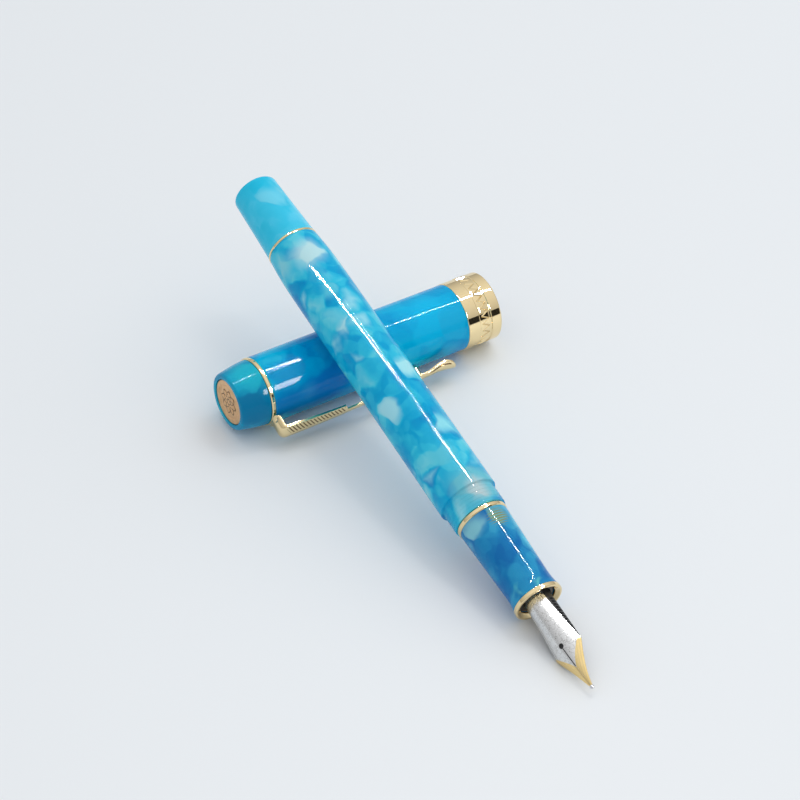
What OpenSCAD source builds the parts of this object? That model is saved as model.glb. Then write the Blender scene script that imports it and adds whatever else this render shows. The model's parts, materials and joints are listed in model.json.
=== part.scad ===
// Fountain pen with its cap off. The cap lies on the table with its clip out to the side, and
// the pen lies across it with the rim of its grip on the table. Millimetres, +Z up, nib
// towards +X, cap mouth towards +Y. Every pen piece is drawn along its own +Z from the tail end, every
// cap piece along its own +Z from the finial face, and then laid down by in_pen() or in_cap().

/* [Cap] */
// Outer diameter of the cap tube
cap_d = 13.8; // [13.4:0.1:15.5]
// Length of the cap from the finial face to the lip
cap_len = 59.2; // [56:0.1:68]
// Thickness of the closed end of the cap tube
cap_end_wall = 3; // [2:0.1:4]
// Radial clearance between the cap bore and the barrel thread
cap_thread_gap = 0.1; // [0.05:0.01:0.25]

/* [Finial] */
// Length of the finial from its face to the clip ring
finial_len = 6.15; // [5:0.05:9]
// Diameter of the flat end of the finial
finial_end_d = 11.8; // [11:0.1:12.8]
// Diameter of the finial where it meets the clip ring
finial_base_d = 13.4; // [12.8:0.1:13.8]
// Radius of the rounded edge round the finial face
finial_edge_r = 0.6; // [0.3:0.05:0.9]
// Diameter of the medallion
medallion_d = 9.3; // [7:0.1:10]
// Thickness of the medallion
medallion_t = 1; // [0.6:0.1:1.4]
// Depth of the medallion below the finial face
medallion_sink = 0.2; // [0.05:0.05:0.5]
// Radial gap round the medallion
medallion_gap = 0.12; // [0.05:0.01:0.25]
// Diameter of the stud that joins finial, clip and tube
stud_d = 4; // [3:0.1:5]
// Length of the stud inside the finial
stud_grip = 3; // [2:0.1:4]

/* [Clip] */
// Outer diameter of the clip ring
clip_ring_d = 13.9; // [13.8:0.05:15.5]
// Thickness of the clip ring along the cap
clip_ring_w = 0.85; // [0.6:0.05:1.4]
// Length of the clip beyond the ring
clip_len = 39.8; // [34:0.1:42]
// Height of the clip's crest above the tube, at the shoulder
clip_rise = 4.1; // [3.2:0.05:4.6]
// Height of the leaf's lowest point above the tube
clip_leaf_rise = 2.7; // [2.2:0.05:3.1]
// Rise of the clip's very tip above that point
clip_lift = 0.4; // [0.1:0.05:0.8]
// Thickness of the clip's sheet
clip_t = 0.65; // [0.5:0.05:0.75]
// Outer radius of the clip's shoulder bend
clip_bend_r = 1.5; // [1:0.1:2]
// Depth of the arch across the clip at its shoulder
clip_arch = 0.6; // [0.3:0.05:0.8]
// Width of the upper part of the clip at the shoulder
clip_wide_w = 4.2; // [3.4:0.1:4.8]
// Width of the upper part where it steps down to the shank
clip_step_w = 3.2; // [2.6:0.1:3.4]
// Length of the upper part of the clip
clip_wide_len = 14; // [10:0.1:20]
// Width of the shank behind the step
clip_shank_w = 1.4; // [1.2:0.1:2]
// Width of the shank in front of the leaf
clip_neck_w = 2; // [1.6:0.1:2.6]
// Width of the leaf-shaped tip
clip_leaf_w = 4.4; // [3.4:0.1:5]
// Length of the leaf-shaped tip
clip_leaf_len = 6.6; // [5:0.1:9]
// Diameter of the stud under the clip that touches the cap
clip_stud_d = 1.6; // [1.2:0.1:2]
// Angle of the clip below the horizontal
clip_roll = 20; // [0:1:25]

/* [Cap band] */
// Outer diameter of the cap band
band_d = 14; // [13.9:0.05:15.6]
// Length of the cap band
band_len = 7.7; // [6:0.1:10]
// Wall of the band over the tube
band_wall = 0.5; // [0.35:0.05:0.6]
// Thickness of the band's turned-in lip
band_lip = 0.5; // [0.3:0.05:0.9]
// Length of the plain zone next to the tube
band_plain_len = 2.75; // [1.5:0.05:3.5]
// Length of the engraved middle zone
band_mid_len = 1.9; // [1.2:0.05:2.3]
// Width of the two grooves
band_groove_w = 0.35; // [0.2:0.05:0.6]
// Depth of the two grooves
band_groove_depth = 0.18; // [0.1:0.02:0.3]

/* [Inner cap] */
// Wall of the inner cap at its lip
inner_cap_wall = 0.9; // [0.6:0.05:1.2]
// Widening of the inner cap's bore towards its lip
inner_cap_lead = 0.25; // [0.1:0.05:0.4]
// Thickness of the inner cap's closed end
inner_cap_floor = 1.2; // [0.8:0.1:1.6]
// Gap between the inner cap's lip and the grip rim of a closed pen
seal_gap = 0.25; // [0.1:0.05:0.5]
// Step in the cap's bore where the seat of the inner cap begins
seat_step = 0.2; // [0.1:0.05:0.4]

/* [Barrel] */
// Largest diameter of the barrel
barrel_d = 12.04; // [11.7:0.02:13]
// Length of the barrel between its two gold rings
barrel_len = 71.25; // [68:0.05:80]
// Loss of radius from the middle of the barrel to its tail ring
barrel_crown = 0.25; // [0.1:0.01:0.4]
// Further loss of radius at the shoulder by the tail ring
shoulder_drop = 0.42; // [0.2:0.01:0.6]
// Length of that shoulder
shoulder_len = 9; // [5:0.5:14]
// Radius of the barrel's bore
barrel_bore_r = 4.6; // [4.5:0.05:4.8]
// Solid end of the barrel in front of the tail ring
barrel_end_wall = 5.2; // [4.4:0.1:6]
// Diameter over the cap thread
thread_d = 11.3; // [11:0.05:11.6]
// Length of the cap thread
thread_len = 4.65; // [3.5:0.05:7]
// Height of the thread above its plain land
thread_depth = 0.16; // [0.08:0.02:0.22]

/* [Barrel tail] */
// Length of the tail piece
tail_len = 15.35; // [10:0.05:22]
// Diameter of the tail piece near its end
tail_end_d = 9.35; // [8:0.05:10]
// Diameter of the tail piece at its ring
tail_base_d = 10.6; // [10:0.05:10.9]
// Radius of the rounded end of the tail piece
tail_edge_r = 1; // [0.4:0.05:1.6]
// Width of the tail ring
tail_ring_w = 0.55; // [0.4:0.05:1]
// Outer diameter of the tail ring
tail_ring_d = 10.8; // [10.6:0.05:11.2]
// Diameter of the tail piece's spigot in the barrel
spigot_d = 6; // [4:0.1:7]
// Length of the spigot
spigot_len = 3.6; // [2:0.1:3.8]

/* [Mouth ring and bushing] */
// Outer diameter of the loose ring between barrel and grip
mouth_ring_d = 10.5; // [10.3:0.05:10.8]
// Width of that ring
mouth_ring_w = 1.05; // [0.7:0.05:1.6]
// Outer diameter of the threaded bushing in the barrel's mouth
bushing_d = 9.6; // [9.4:0.05:9.8]
// Length of the bushing
bushing_len = 8; // [6:0.1:9]

/* [Grip section] */
// Length of the grip section
section_len = 18.95; // [16:0.05:22]
// Diameter of the grip at the mouth ring
section_base_d = 10.2; // [10:0.05:10.5]
// Diameter of the grip at its waist
section_waist_d = 9.1; // [9:0.05:9.6]
// Diameter of the grip at its flared lip
section_lip_d = 9.9; // [9.6:0.05:10.4]
// Length of the flare
flare_len = 3.6; // [2:0.1:6]
// Diameter of the gold end ring
end_ring_d = 10.1; // [9.9:0.05:10.6]
// Width of the end ring
end_ring_w = 1; // [0.7:0.05:1.5]
// Radius of the end ring's outer edge
end_ring_edge_r = 0.28; // [0.15:0.01:0.4]
// Width of the ring's dished face
end_ring_face = 1.25; // [0.8:0.05:1.4]
// Depth of the dish
dish_depth = 0.55; // [0.2:0.05:0.8]
// Outer diameter of the metal connector tube
connector_d = 8.2; // [8:0.05:8.4]
// Length of the connector inside the grip
connector_in = 5.8; // [4:0.1:7]
// Length of the connector that the barrel screws onto
connector_out = 7.4; // [5:0.1:7.8]
// Wall of the connector tube
connector_wall = 0.35; // [0.3:0.01:0.4]

/* [Nib unit] */
// Diameter of the housing that holds nib and feed
housing_d = 7.5; // [7.3:0.05:7.6]
// Length of the housing
housing_len = 8.2; // [6:0.1:9]
// Depth of the housing's face below the rim of the end ring
housing_sink = 0.95; // [0.5:0.05:1.5]
// Diameter of the nipple that the converter fits over
nipple_d = 4.2; // [3.6:0.1:4.6]
// Length of the nipple
nipple_len = 5.4; // [4:0.1:6]
// Length of the nib beyond the rim of the grip
nib_out = 20.2; // [17:0.05:24]
// Length of the nib inside the housing
nib_in = 6.5; // [4:0.1:7]
// Thickness of the nib's sheet
nib_t = 0.3; // [0.2:0.02:0.4]
// Width of the nib at its shoulders
nib_shoulder_w = 7.3; // [6:0.05:8]
// Width of the nib where it enters the housing
nib_root_w = 5; // [4.2:0.05:5.2]
// Width of the nib at its very tip
nib_tip_w = 0.7; // [0.5:0.05:0.9]
// Height of the nib's crest above the pen's axis
nib_height = 2.75; // [2.6:0.05:2.9]
// Length of the straight part of that crest
nib_straight_len = 8.5; // [6:0.1:12]
// Fall of the crest from there to the tip
nib_fall = 0.75; // [0.5:0.05:1.2]
// Depth of the nib's arch at its shoulders
nib_arch = 1.7; // [1.4:0.05:2.2]
// Distance of the shoulders behind the tip
nib_taper_len = 8.6; // [7:0.05:11]
// Diameter of the breather hole
breather_d = 0.95; // [0.6:0.05:1.3]
// Distance of the breather hole behind the shoulders
breather_back = 0.9; // [0:0.05:2]
// Width of the slit
slit_w = 0.12; // [0.08:0.01:0.2]
// Diameter of the tipping
tipping_d = 0.9; // [0.7:0.05:1.2]
// Width of the air fins and of the slots between them
fin_w = 0.36; // [0.3:0.02:0.6]
// Depth of the slots between the fins
fin_depth = 0.8; // [0.4:0.05:1.1]
// Reach of the feed's nose beyond the nib's shoulders
feed_reach = 3.4; // [1:0.1:5]
// Width of the feed's nose
feed_nose_w = 1.5; // [1:0.1:2]
// Height of the feed's nose
feed_nose_t = 0.8; // [0.5:0.05:1.2]
// How far the pen is rolled, from nib up towards the finial side
nib_roll = 56; // [0:1:180]

/* [Converter] */
// Outer diameter of the converter's clear tube
converter_d = 7; // [6.6:0.05:7.1]
// Wall of the clear tube
converter_wall = 0.55; // [0.4:0.05:0.7]
// Length of the clear tube, neck included
converter_tube_len = 47; // [42:0.1:50]
// Length of the neck that grips the nipple
converter_neck_len = 5.6; // [5:0.1:6.5]
// Length of the metal collar
collar_len = 11; // [8:0.1:12]
// Outer diameter of the metal collar
collar_d = 7.3; // [7.1:0.05:7.4]
// Thickness of the knob's closed end
knob_floor = 0.8; // [0.5:0.1:1.5]
// Room left behind the rod when the piston is fully back
rod_play = 0.4; // [0.2:0.1:1]
// Outer diameter of the knob
knob_d = 6.6; // [5.5:0.1:7]
// Number of grooves round the knob
knob_grooves = 16; // [8:1:20]
// Diameter of the piston rod
rod_d = 2.4; // [1.8:0.1:2.8]
// Length of the piston seal
seal_len = 3.4; // [2.5:0.1:5]
// Travel of the piston
piston_travel = 20; // [14:0.5:22]

/* [Rest] */
// Distance from the tail end to where the pen crosses the cap
pen_cross = 35.75; // [30:0.05:45]
// Distance from the finial face to where the pen crosses the cap
cap_cross = 24.4; // [15:0.1:36]
// Gap between the barrel and the cap tube it lies on
rest_gap = 0.25; // [0.2:0.01:0.35]

/* [Fits] */
// Radial clearance of a glued or pressed round fit
press_gap = 0.02; // [0.01:0.01:0.04]
// Radial clearance of a running fit
run_gap = 0.06; // [0.04:0.01:0.09]
// Gap between end faces that part when something moves
face_gap = 0.02; // [0.01:0.01:0.1]

/* [Hidden] */
$fn = 64;
eps = 0.01;

// Colours
resin = [0.12, 0.62, 0.84];
deep_resin = [0.12, 0.45, 0.75];
gold = [0.85, 0.7, 0.4];
steel = [0.78, 0.79, 0.8];
black = [0.08, 0.08, 0.09];

// Stations along the cap
cap_r = cap_d/2;
cap_bore_r = thread_d/2 + cap_thread_gap;
z_tube = finial_len + clip_ring_w;
z_band = cap_len - band_len;
cap_bottom = z_tube + cap_end_wall;
seat_r = cap_bore_r - seat_step;

// Stations along the pen
z_barrel = tail_len + tail_ring_w;
z_mouth = z_barrel + barrel_len;
z_step = z_mouth - thread_len;
z_section = z_mouth + mouth_ring_w;
z_end_ring = z_section + section_len;
z_rim = z_end_ring + end_ring_w;
z_tip = z_rim + nib_out;
// With the pen closed, the step of its barrel meets the lip of the cap.
z_seat = cap_len - (z_rim - z_step) - seal_gap;
z_housing = z_rim - housing_sink - housing_len;
housing_bore_r = nib_height + press_gap;
nib_shoulder_v = nib_out - nib_taper_len;
breather_v = nib_shoulder_v - breather_back;
nipple_bore_r = nipple_d/2 + press_gap;
z_neck = z_housing - press_gap;
z_shelf = z_neck - converter_neck_len;
z_clear = z_neck - converter_tube_len;
z_knob = z_clear - face_gap;
z_sleeve = z_knob + collar_len;
z_seal = z_shelf - 1.2;
converter_bore_r = converter_d/2 - converter_wall;
// The rod starts just inside the knob's sleeve and needs its whole travel behind it.
rod_end_z = z_sleeve - 1.2;
z_knob_end = rod_end_z - piston_travel - rod_play - knob_floor;

// Small chamfer on the edges of metal and resin
edge_break = 0.15;

// Rest pose: the cap lies on its widest ring, the pen on the cap and on its own rim.
cap_axis_z = max(cap_d, clip_ring_d, band_d)/2;
axis_gap = cap_r + rest_gap + barrel_r(pen_cross);
rim_r = end_ring_d/2;
reach = z_rim - end_ring_edge_r - pen_cross;
rise = axis_gap - (rim_r - end_ring_edge_r);
tilt = atan(rise/reach) + asin((cap_axis_z - end_ring_edge_r)/norm([reach, rise]));
// The middle of the pen's plan length, tail edge to tipping, is at x = 0.
tipping_x = nib_crest(nib_out) - nib_t*0.6;
tipping_z = z_tip + tipping_d*0.28;
pen_low_x = -(tail_end_d/2 - tail_edge_r)*sin(tilt) + tail_edge_r*cos(tilt) - tail_edge_r;
pen_high_x = tipping_z*cos(tilt) + tipping_x*cos(nib_roll)*sin(tilt) + tipping_d/2;
tail_x = -(pen_low_x + pen_high_x)/2;
cap_x = tail_x + pen_cross*cos(tilt) - axis_gap*sin(tilt);
tail_z = cap_axis_z + axis_gap*cos(tilt) + pen_cross*sin(tilt);
cross_y = cap_cross - cap_len/2;

module in_cap() {
    translate([cap_x, -cap_len/2, cap_axis_z]) rotate([-90, 0, 0]) children();
}

module in_pen() {
    translate([tail_x, cross_y, tail_z]) rotate([0, 90 + tilt, 0]) children();
}

// Points of a circular arc about [x, z], from angle a to angle b
function arc(x, z, r, a, b, n = 8) =
    [for (i = [0:n]) let (t = a + (b - a)*i/n) [x + r*cos(t), z + r*sin(t)]];

// Radius of the barrel at distance z from the tail end
function barrel_r(z) =
    let (far = max(0, 1 - (z - z_barrel)/(z_step - z_barrel)),
         near = max(0, 1 - (z - z_barrel)/shoulder_len))
    barrel_d/2 - barrel_crown*far*far - shoulder_drop*near*near;

// Radius of the grip at distance z from the tail end
function section_r(z) =
    let (along = (z - z_section)/section_len,
         flare = max(0, 1 - (z_end_ring - z)/flare_len),
         waist = section_base_d/2 + (section_waist_d - section_base_d)/2*along)
    waist + (section_lip_d - section_waist_d)/2*flare*flare;

// A ring drawn as the polygon between two radii
module tube(r_out, r_in, z0, z1) {
    rotate_extrude() translate([r_in, z0]) square([r_out - r_in, z1 - z0]);
}

// ---- Cap ----

module cap_tube() {
    sleeve_r = band_d/2 - band_wall - press_gap;
    color(resin) in_cap() difference() {
        rotate_extrude() polygon(concat(
            [[0, z_tube], [cap_r - edge_break, z_tube], [cap_r, z_tube + edge_break], [cap_r, z_band],
             [sleeve_r, z_band], [sleeve_r, cap_len - band_lip], [cap_bore_r, cap_len - band_lip],
             [cap_bore_r, z_seat], [seat_r, z_seat], [seat_r, cap_bottom], [0, cap_bottom]]));
        translate([0, 0, z_tube - eps])
            cylinder(r = stud_d/2 + press_gap, h = cap_end_wall + 2*eps);
    }
}

module cap_finial() {
    pocket_r = medallion_d/2 + medallion_gap;
    pocket = medallion_sink + medallion_t;
    end_r = finial_end_d/2;
    base_r = finial_base_d/2;
    color(resin) in_cap() difference() {
        rotate_extrude() polygon(concat(
            [[0, 0]],
            arc(end_r - finial_edge_r, finial_edge_r, finial_edge_r, -90, -12),
            [[end_r + 0.42*(base_r - end_r), finial_len*0.36],
             [end_r + 0.84*(base_r - end_r), finial_len*0.7],
             [base_r, finial_len - edge_break], [base_r - edge_break, finial_len],
             [0, finial_len]]));
        translate([0, 0, -eps]) cylinder(r = pocket_r, h = pocket + eps);
        translate([0, 0, finial_len - stud_grip])
            cylinder(r = stud_d/2 + press_gap, h = stud_grip + eps);
    }
}

module finial_medallion() {
    r = medallion_d/2;
    z = medallion_sink;
    color([0.78, 0.6, 0.38]) in_cap() rotate_extrude() polygon([
        [0, z + 0.06], [r*0.66, z + 0.06], [r*0.7, z + 0.14], [r*0.76, z + 0.14], [r*0.8, z],
        [r - 0.12, z], [r, z + 0.12], [r, z + medallion_t], [0, z + medallion_t]]);
}

module finial_stud() {
    color(steel) in_cap() translate([0, 0, finial_len - stud_grip + face_gap])
        cylinder(d = stud_d, h = stud_grip + clip_ring_w + cap_end_wall - 2*face_gap);
}

module clip_ring() {
    r = clip_ring_d/2;
    bevel = 0.18;
    color(gold) in_cap() rotate_extrude() polygon([
        [stud_d/2 + 0.2, finial_len], [r - bevel, finial_len], [r, finial_len + bevel],
        [r, z_tube - bevel], [r - bevel, z_tube], [stud_d/2 + 0.2, z_tube]]);
}

// The clip is a sheet that leaves the ring outwards, bends at the shoulder and runs along the
// tube. It is drawn with its crest towards +X, then turned down by clip_roll.
clip_top_r = cap_r + clip_rise;
clip_leaf_r = cap_r + clip_leaf_rise;
clip_root_r = clip_ring_d/2 + run_gap;
clip_leg_z = finial_len + face_gap;
clip_strap_z = clip_leg_z + clip_bend_r;
clip_step_z = z_tube + clip_wide_len;
clip_end_z = z_tube + clip_len;
clip_leaf_z = clip_end_z - clip_leaf_len;
clip_low_z = clip_end_z - clip_leaf_len*0.6;

// Radius of the clip's crest at distance z from the finial face
function clip_crest(z) =
    let (down = min(1, (z - clip_strap_z)/(clip_low_z - clip_strap_z)),
         up = max(0, (z - clip_low_z)/(clip_end_z - clip_low_z)))
    clip_top_r - (clip_top_r - clip_leaf_r)*pow(down, 1.9) + clip_lift*up*up;

// Half the clip's width at distance z from the finial face
function clip_half(z) =
    let (wide = (z - clip_strap_z)/(clip_step_z - clip_strap_z),
         shank = (z - clip_step_z)/(clip_leaf_z - clip_step_z),
         leaf = (z - clip_leaf_z)/clip_leaf_len)
    z <= clip_step_z ? (clip_wide_w + (clip_step_w - clip_wide_w)*max(0, wide))/2
    : z <= clip_leaf_z ? (clip_shank_w + (clip_neck_w - clip_shank_w)*shank)/2
    : clip_neck_w/2*(1 - leaf) + (clip_leaf_w/2 - clip_neck_w/4)*sin(180*pow(leaf, 0.7)) + 0.12;

// Closed sheet between two grids of points that both have per points in a row
module sheet(top, under, per) {
    u = len(top);
    rows = u/per;
    polyhedron(concat(top, under), concat(
        [for (i = [0:rows - 2], j = [0:per - 2]) let (a = i*per + j)
            each [[a, a + per, a + 1], [a + 1, a + per, a + per + 1]]],
        [for (i = [0:rows - 2], j = [0:per - 2]) let (a = u + i*per + j)
            each [[a, a + 1, a + per], [a + 1, a + per + 1, a + per]]],
        [for (i = [0:rows - 2]) let (a = i*per)
            each [[a, u + a, a + per], [a + per, u + a, u + a + per]]],
        [for (i = [0:rows - 2]) let (a = i*per + per - 1)
            each [[a, a + per, u + a], [a + per, u + a + per, u + a]]],
        [for (j = [0:per - 2]) each [[j, j + 1, u + j], [j + 1, u + j + 1, u + j]]],
        [for (j = [0:per - 2]) let (a = (rows - 1)*per + j)
            each [[a, u + a, a + 1], [a + 1, u + a, u + a + 1]]]));
}

module clip_arm() {
    m = 4;
    bend_x = clip_top_r - clip_bend_r;
    inner_r = clip_bend_r - clip_t;
    strap = concat([for (i = [0:6]) clip_strap_z + (clip_step_z - clip_strap_z)*i/6],
                   [for (i = [0:5]) clip_step_z + 0.3 + (clip_leaf_z - clip_step_z - 0.3)*i/5],
                   [for (i = [1:10]) clip_leaf_z + clip_leaf_len*i/10]);
    bend = [for (a = [18:18:72]) [cos(a), sin(a)]];
    // Rows: [point of the crest, direction into the sheet, half the width], as [x, z] pairs
    rows = concat(
        [[[clip_root_r, clip_leg_z], [0, 1], clip_wide_w/2],
         [[bend_x, clip_leg_z], [0, 1], clip_wide_w/2]],
        [for (b = bend) [[bend_x + clip_bend_r*b[1], clip_strap_z - clip_bend_r*b[0]],
                         [-b[1], b[0]], clip_wide_w/2]],
        [for (z = strap) [[clip_crest(z), z], [-1, 0], clip_half(z)]]);
    function grid(depth) = [for (k = [0:len(rows) - 1], j = [-m:m])
        let (q = rows[k], c = j/m, w = q[2],
             arch = k == 0 ? 0 : clip_arch*pow(2*w/clip_wide_w, 2)*c*c,
             p = q[0] + q[1]*(depth + arch))
        [p[0], w*c, p[1]]];
    stud_z = clip_leaf_z - clip_stud_d;
    stud_r = clip_stud_d/2;
    stud_low = cap_r + run_gap;
    stud_h = clip_crest(stud_z) - clip_t/2 - stud_low;
    color(gold) in_cap() rotate([0, 0, clip_roll]) {
        sheet(grid(0), grid(clip_t), 2*m + 1);
        translate([stud_low + stud_r, 0, stud_z]) rotate([0, 90, 0]) {
            cylinder(r = stud_r, h = stud_h - stud_r);
            sphere(r = stud_r, $fn = 32);
        }
    }
}

module cap_band() {
    r = band_d/2;
    in_r = r - band_wall;
    g = band_groove_depth;
    za = z_band + band_plain_len;
    zb = za + band_groove_w;
    zc = zb + band_mid_len;
    zd = zc + band_groove_w;
    round_r = min(0.3, (cap_len - zd)/3);
    color(gold) in_cap() rotate_extrude() polygon(concat(
        [[in_r, z_band], [r - 0.12, z_band], [r, z_band + 0.12],
         [r, za - g/2], [r - g, za], [r - g, zb], [r, zb + g/2],
         [r, zc - g/2], [r - g, zc], [r - g, zd], [r, zd + g/2]],
        arc(r - round_r, cap_len - round_r, round_r, 0, 90, 5),
        [[cap_bore_r + 0.15, cap_len], [cap_bore_r, cap_len - 0.15],
         [cap_bore_r, cap_len - band_lip], [in_r, cap_len - band_lip]]));
}

module inner_cap() {
    r = seat_r - press_gap;
    lip_r = r - inner_cap_wall;
    in_r = lip_r - inner_cap_lead;
    floor_z = cap_bottom + inner_cap_floor;
    color(black) in_cap() rotate_extrude() polygon([
        [0, cap_bottom + face_gap], [r, cap_bottom + face_gap], [r, z_seat - edge_break],
        [r - edge_break, z_seat], [lip_r, z_seat], [in_r, z_seat - 2*inner_cap_lead],
        [in_r, floor_z + edge_break], [in_r - edge_break, floor_z], [0, floor_z]]);
}

// ---- Barrel ----

module barrel_tube() {
    n = 28;
    crown = [for (i = [0:n]) let (z = z_barrel + (z_step - z_barrel)*pow(i/n, 1.6))
             [barrel_r(z), z]];
    land_r = thread_d/2 - thread_depth;
    color(resin) in_pen() difference() {
        rotate_extrude() polygon(concat(
            [[0, z_barrel]], crown,
            [[land_r, z_step + edge_break], [land_r, z_mouth - edge_break],
             [land_r - edge_break, z_mouth], [0, z_mouth]]));
        translate([0, 0, z_barrel + barrel_end_wall])
            cylinder(r = barrel_bore_r, h = z_mouth);
        translate([0, 0, z_mouth - bushing_len])
            cylinder(r = bushing_d/2 + run_gap, h = bushing_len + eps);
        translate([0, 0, z_barrel - eps])
            cylinder(r = spigot_d/2 + press_gap, h = spigot_len + 2*eps);
    }
}

module barrel_tail() {
    end_r = tail_end_d/2;
    base_r = tail_base_d/2;
    color([0.05, 0.7, 0.88]) in_pen() rotate_extrude() polygon(concat(
        [[0, 0]],
        arc(end_r - tail_edge_r, tail_edge_r, tail_edge_r, -90, -4),
        [for (t = [0.25:0.25:1])
            [end_r + (base_r - end_r)*pow(t, 1.1), tail_edge_r + (tail_len - tail_edge_r)*t]],
        [[spigot_d/2, tail_len], [spigot_d/2, z_barrel + spigot_len - 0.3],
         [spigot_d/2 - 0.3, z_barrel + spigot_len - face_gap],
         [0, z_barrel + spigot_len - face_gap]]));
}

module tail_ring() {
    r = tail_ring_d/2;
    in_r = spigot_d/2 + press_gap;
    bevel = 0.14;
    color(gold) in_pen() rotate_extrude() polygon([
        [in_r, tail_len], [r - bevel, tail_len], [r, tail_len + bevel],
        [r, z_barrel - bevel], [r - bevel, z_barrel], [in_r, z_barrel]]);
}

module barrel_bushing() {
    color([0.8, 0.65, 0.35]) in_pen()
        tube(bushing_d/2, connector_d/2 + run_gap, z_mouth - bushing_len + face_gap,
             z_mouth - face_gap);
}

module mouth_ring() {
    r = mouth_ring_d/2;
    in_r = connector_d/2 + run_gap;
    z0 = z_mouth + face_gap;
    z1 = z_section - face_gap;
    color(gold) in_pen() rotate_extrude() polygon([
        [in_r, z0], [r - 0.2, z0], [r, z0 + 0.2], [r, z1 - 0.2], [r - 0.2, z1], [in_r, z1]]);
}

// ---- Grip ----

module section_grip() {
    n = 24;
    outline = [for (i = [0:n]) let (z = z_section + section_len*i/n) [section_r(z), z]];
    z_seat = z_section + connector_in;
    color(deep_resin) in_pen() difference() {
        rotate_extrude() polygon(concat([[0, z_section]], outline, [[0, z_end_ring]]));
        translate([0, 0, z_section - eps])
            cylinder(r = connector_d/2 + press_gap, h = connector_in + eps);
        translate([0, 0, z_seat - eps])
            cylinder(r = housing_d/2 + press_gap, h = section_len);
    }
}

module section_end_ring() {
    r = rim_r;
    in_r = housing_d/2 + press_gap;
    color(gold) in_pen() rotate_extrude() polygon(concat(
        [[in_r, z_end_ring], [r - edge_break, z_end_ring], [r, z_end_ring + edge_break]],
        arc(r - end_ring_edge_r, z_rim - end_ring_edge_r, end_ring_edge_r, 0, 90, 5),
        [[r - end_ring_edge_r - 0.2, z_rim], [r - end_ring_face, z_rim - dish_depth],
         [in_r, z_rim - dish_depth - 0.1]]));
}

module section_connector() {
    r = connector_d/2;
    z0 = z_mouth - connector_out;
    z1 = z_section + connector_in - face_gap;
    color([0.8, 0.65, 0.35]) in_pen() rotate_extrude() polygon([
        [r - connector_wall, z0], [r - 0.15, z0], [r, z0 + 0.3], [r, z1],
        [r - connector_wall, z1]]);
}

// ---- Nib unit ----

// The nib's crest points along +X here, before nib_roll turns it
module nib_frame() {
    in_pen() rotate([0, 0, 180 + nib_roll]) children();
}

// Height of the nib's crest above the pen's axis, v from the rim towards the tip
function nib_crest(v) =
    let (bow = max(0, v - nib_straight_len)/(nib_out - nib_straight_len))
    nib_height - nib_fall*pow(bow, 1.7);

// Half the nib's width
function nib_half(v) =
    let (back = min(1, max(0, v/nib_shoulder_v)),
         front = max(0, (nib_out - v)/nib_taper_len))
    v <= nib_shoulder_v ? nib_root_w/2 + (nib_shoulder_w - nib_root_w)/2*pow(back, 1.25)
                        : nib_tip_w/2 + (nib_shoulder_w - nib_tip_w)/2*pow(front, 1.12)
                          *(1 - 0.12*sin(180*front)*(1 - front));

// Depth of the nib's arched cross-section. In the housing it is round about the pen's axis.
function nib_sag(v) =
    let (back = min(1, max(0, v/nib_shoulder_v)),
         front = min(1, max(0, (nib_out - v)/nib_taper_len)),
         root = nib_height - sqrt(pow(nib_height, 2) - pow(nib_root_w/2, 2)),
         flat = 0.05)
    flat + (root + (nib_arch - root)*back - flat)*pow(front, 1.35);

// One arched cross-section, as points across the strip at height offset -t
function nib_arc(v, t, m) =
    let (w = nib_half(v), h = nib_sag(v), r = (w*w + h*h)/(2*h), a = 2*atan(h/w),
         x0 = nib_crest(v) - r)
    [for (j = [-m:m]) [x0 + (r - t)*cos(a*j/m), (r - t)*sin(a*j/m), z_rim + v]];

module nib_blank() {
    m = 7;
    stations = concat([-nib_in, -nib_in/2], [for (i = [0:9]) nib_shoulder_v*i/10],
                      [for (i = [0:13]) nib_out - nib_taper_len*pow(1 - i/13, 1.1)]);
    sheet([for (v = stations) each nib_arc(v, 0, m)],
          [for (v = stations) each nib_arc(v, nib_t, m)], 2*m + 1);
}

module nib() {
    color(steel) nib_frame() difference() {
        nib_blank();
        translate([0, 0, z_rim + breather_v]) rotate([0, 90, 0])
            cylinder(d = breather_d, h = 2*nib_height, $fn = 24);
        translate([0, -slit_w/2, z_rim + breather_v]) cube([2*nib_height, slit_w, nib_out]);
    }
}

// A ball that is ground flat where it meets the end of the nib
module nib_tipping() {
    color([0.85, 0.85, 0.87]) nib_frame() difference() {
        translate([tipping_x, 0, tipping_z]) sphere(d = tipping_d, $fn = 32);
        translate([tipping_x - tipping_d, -tipping_d, z_tip - tipping_d])
            cube([2*tipping_d, 2*tipping_d, tipping_d]);
    }
}

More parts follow.
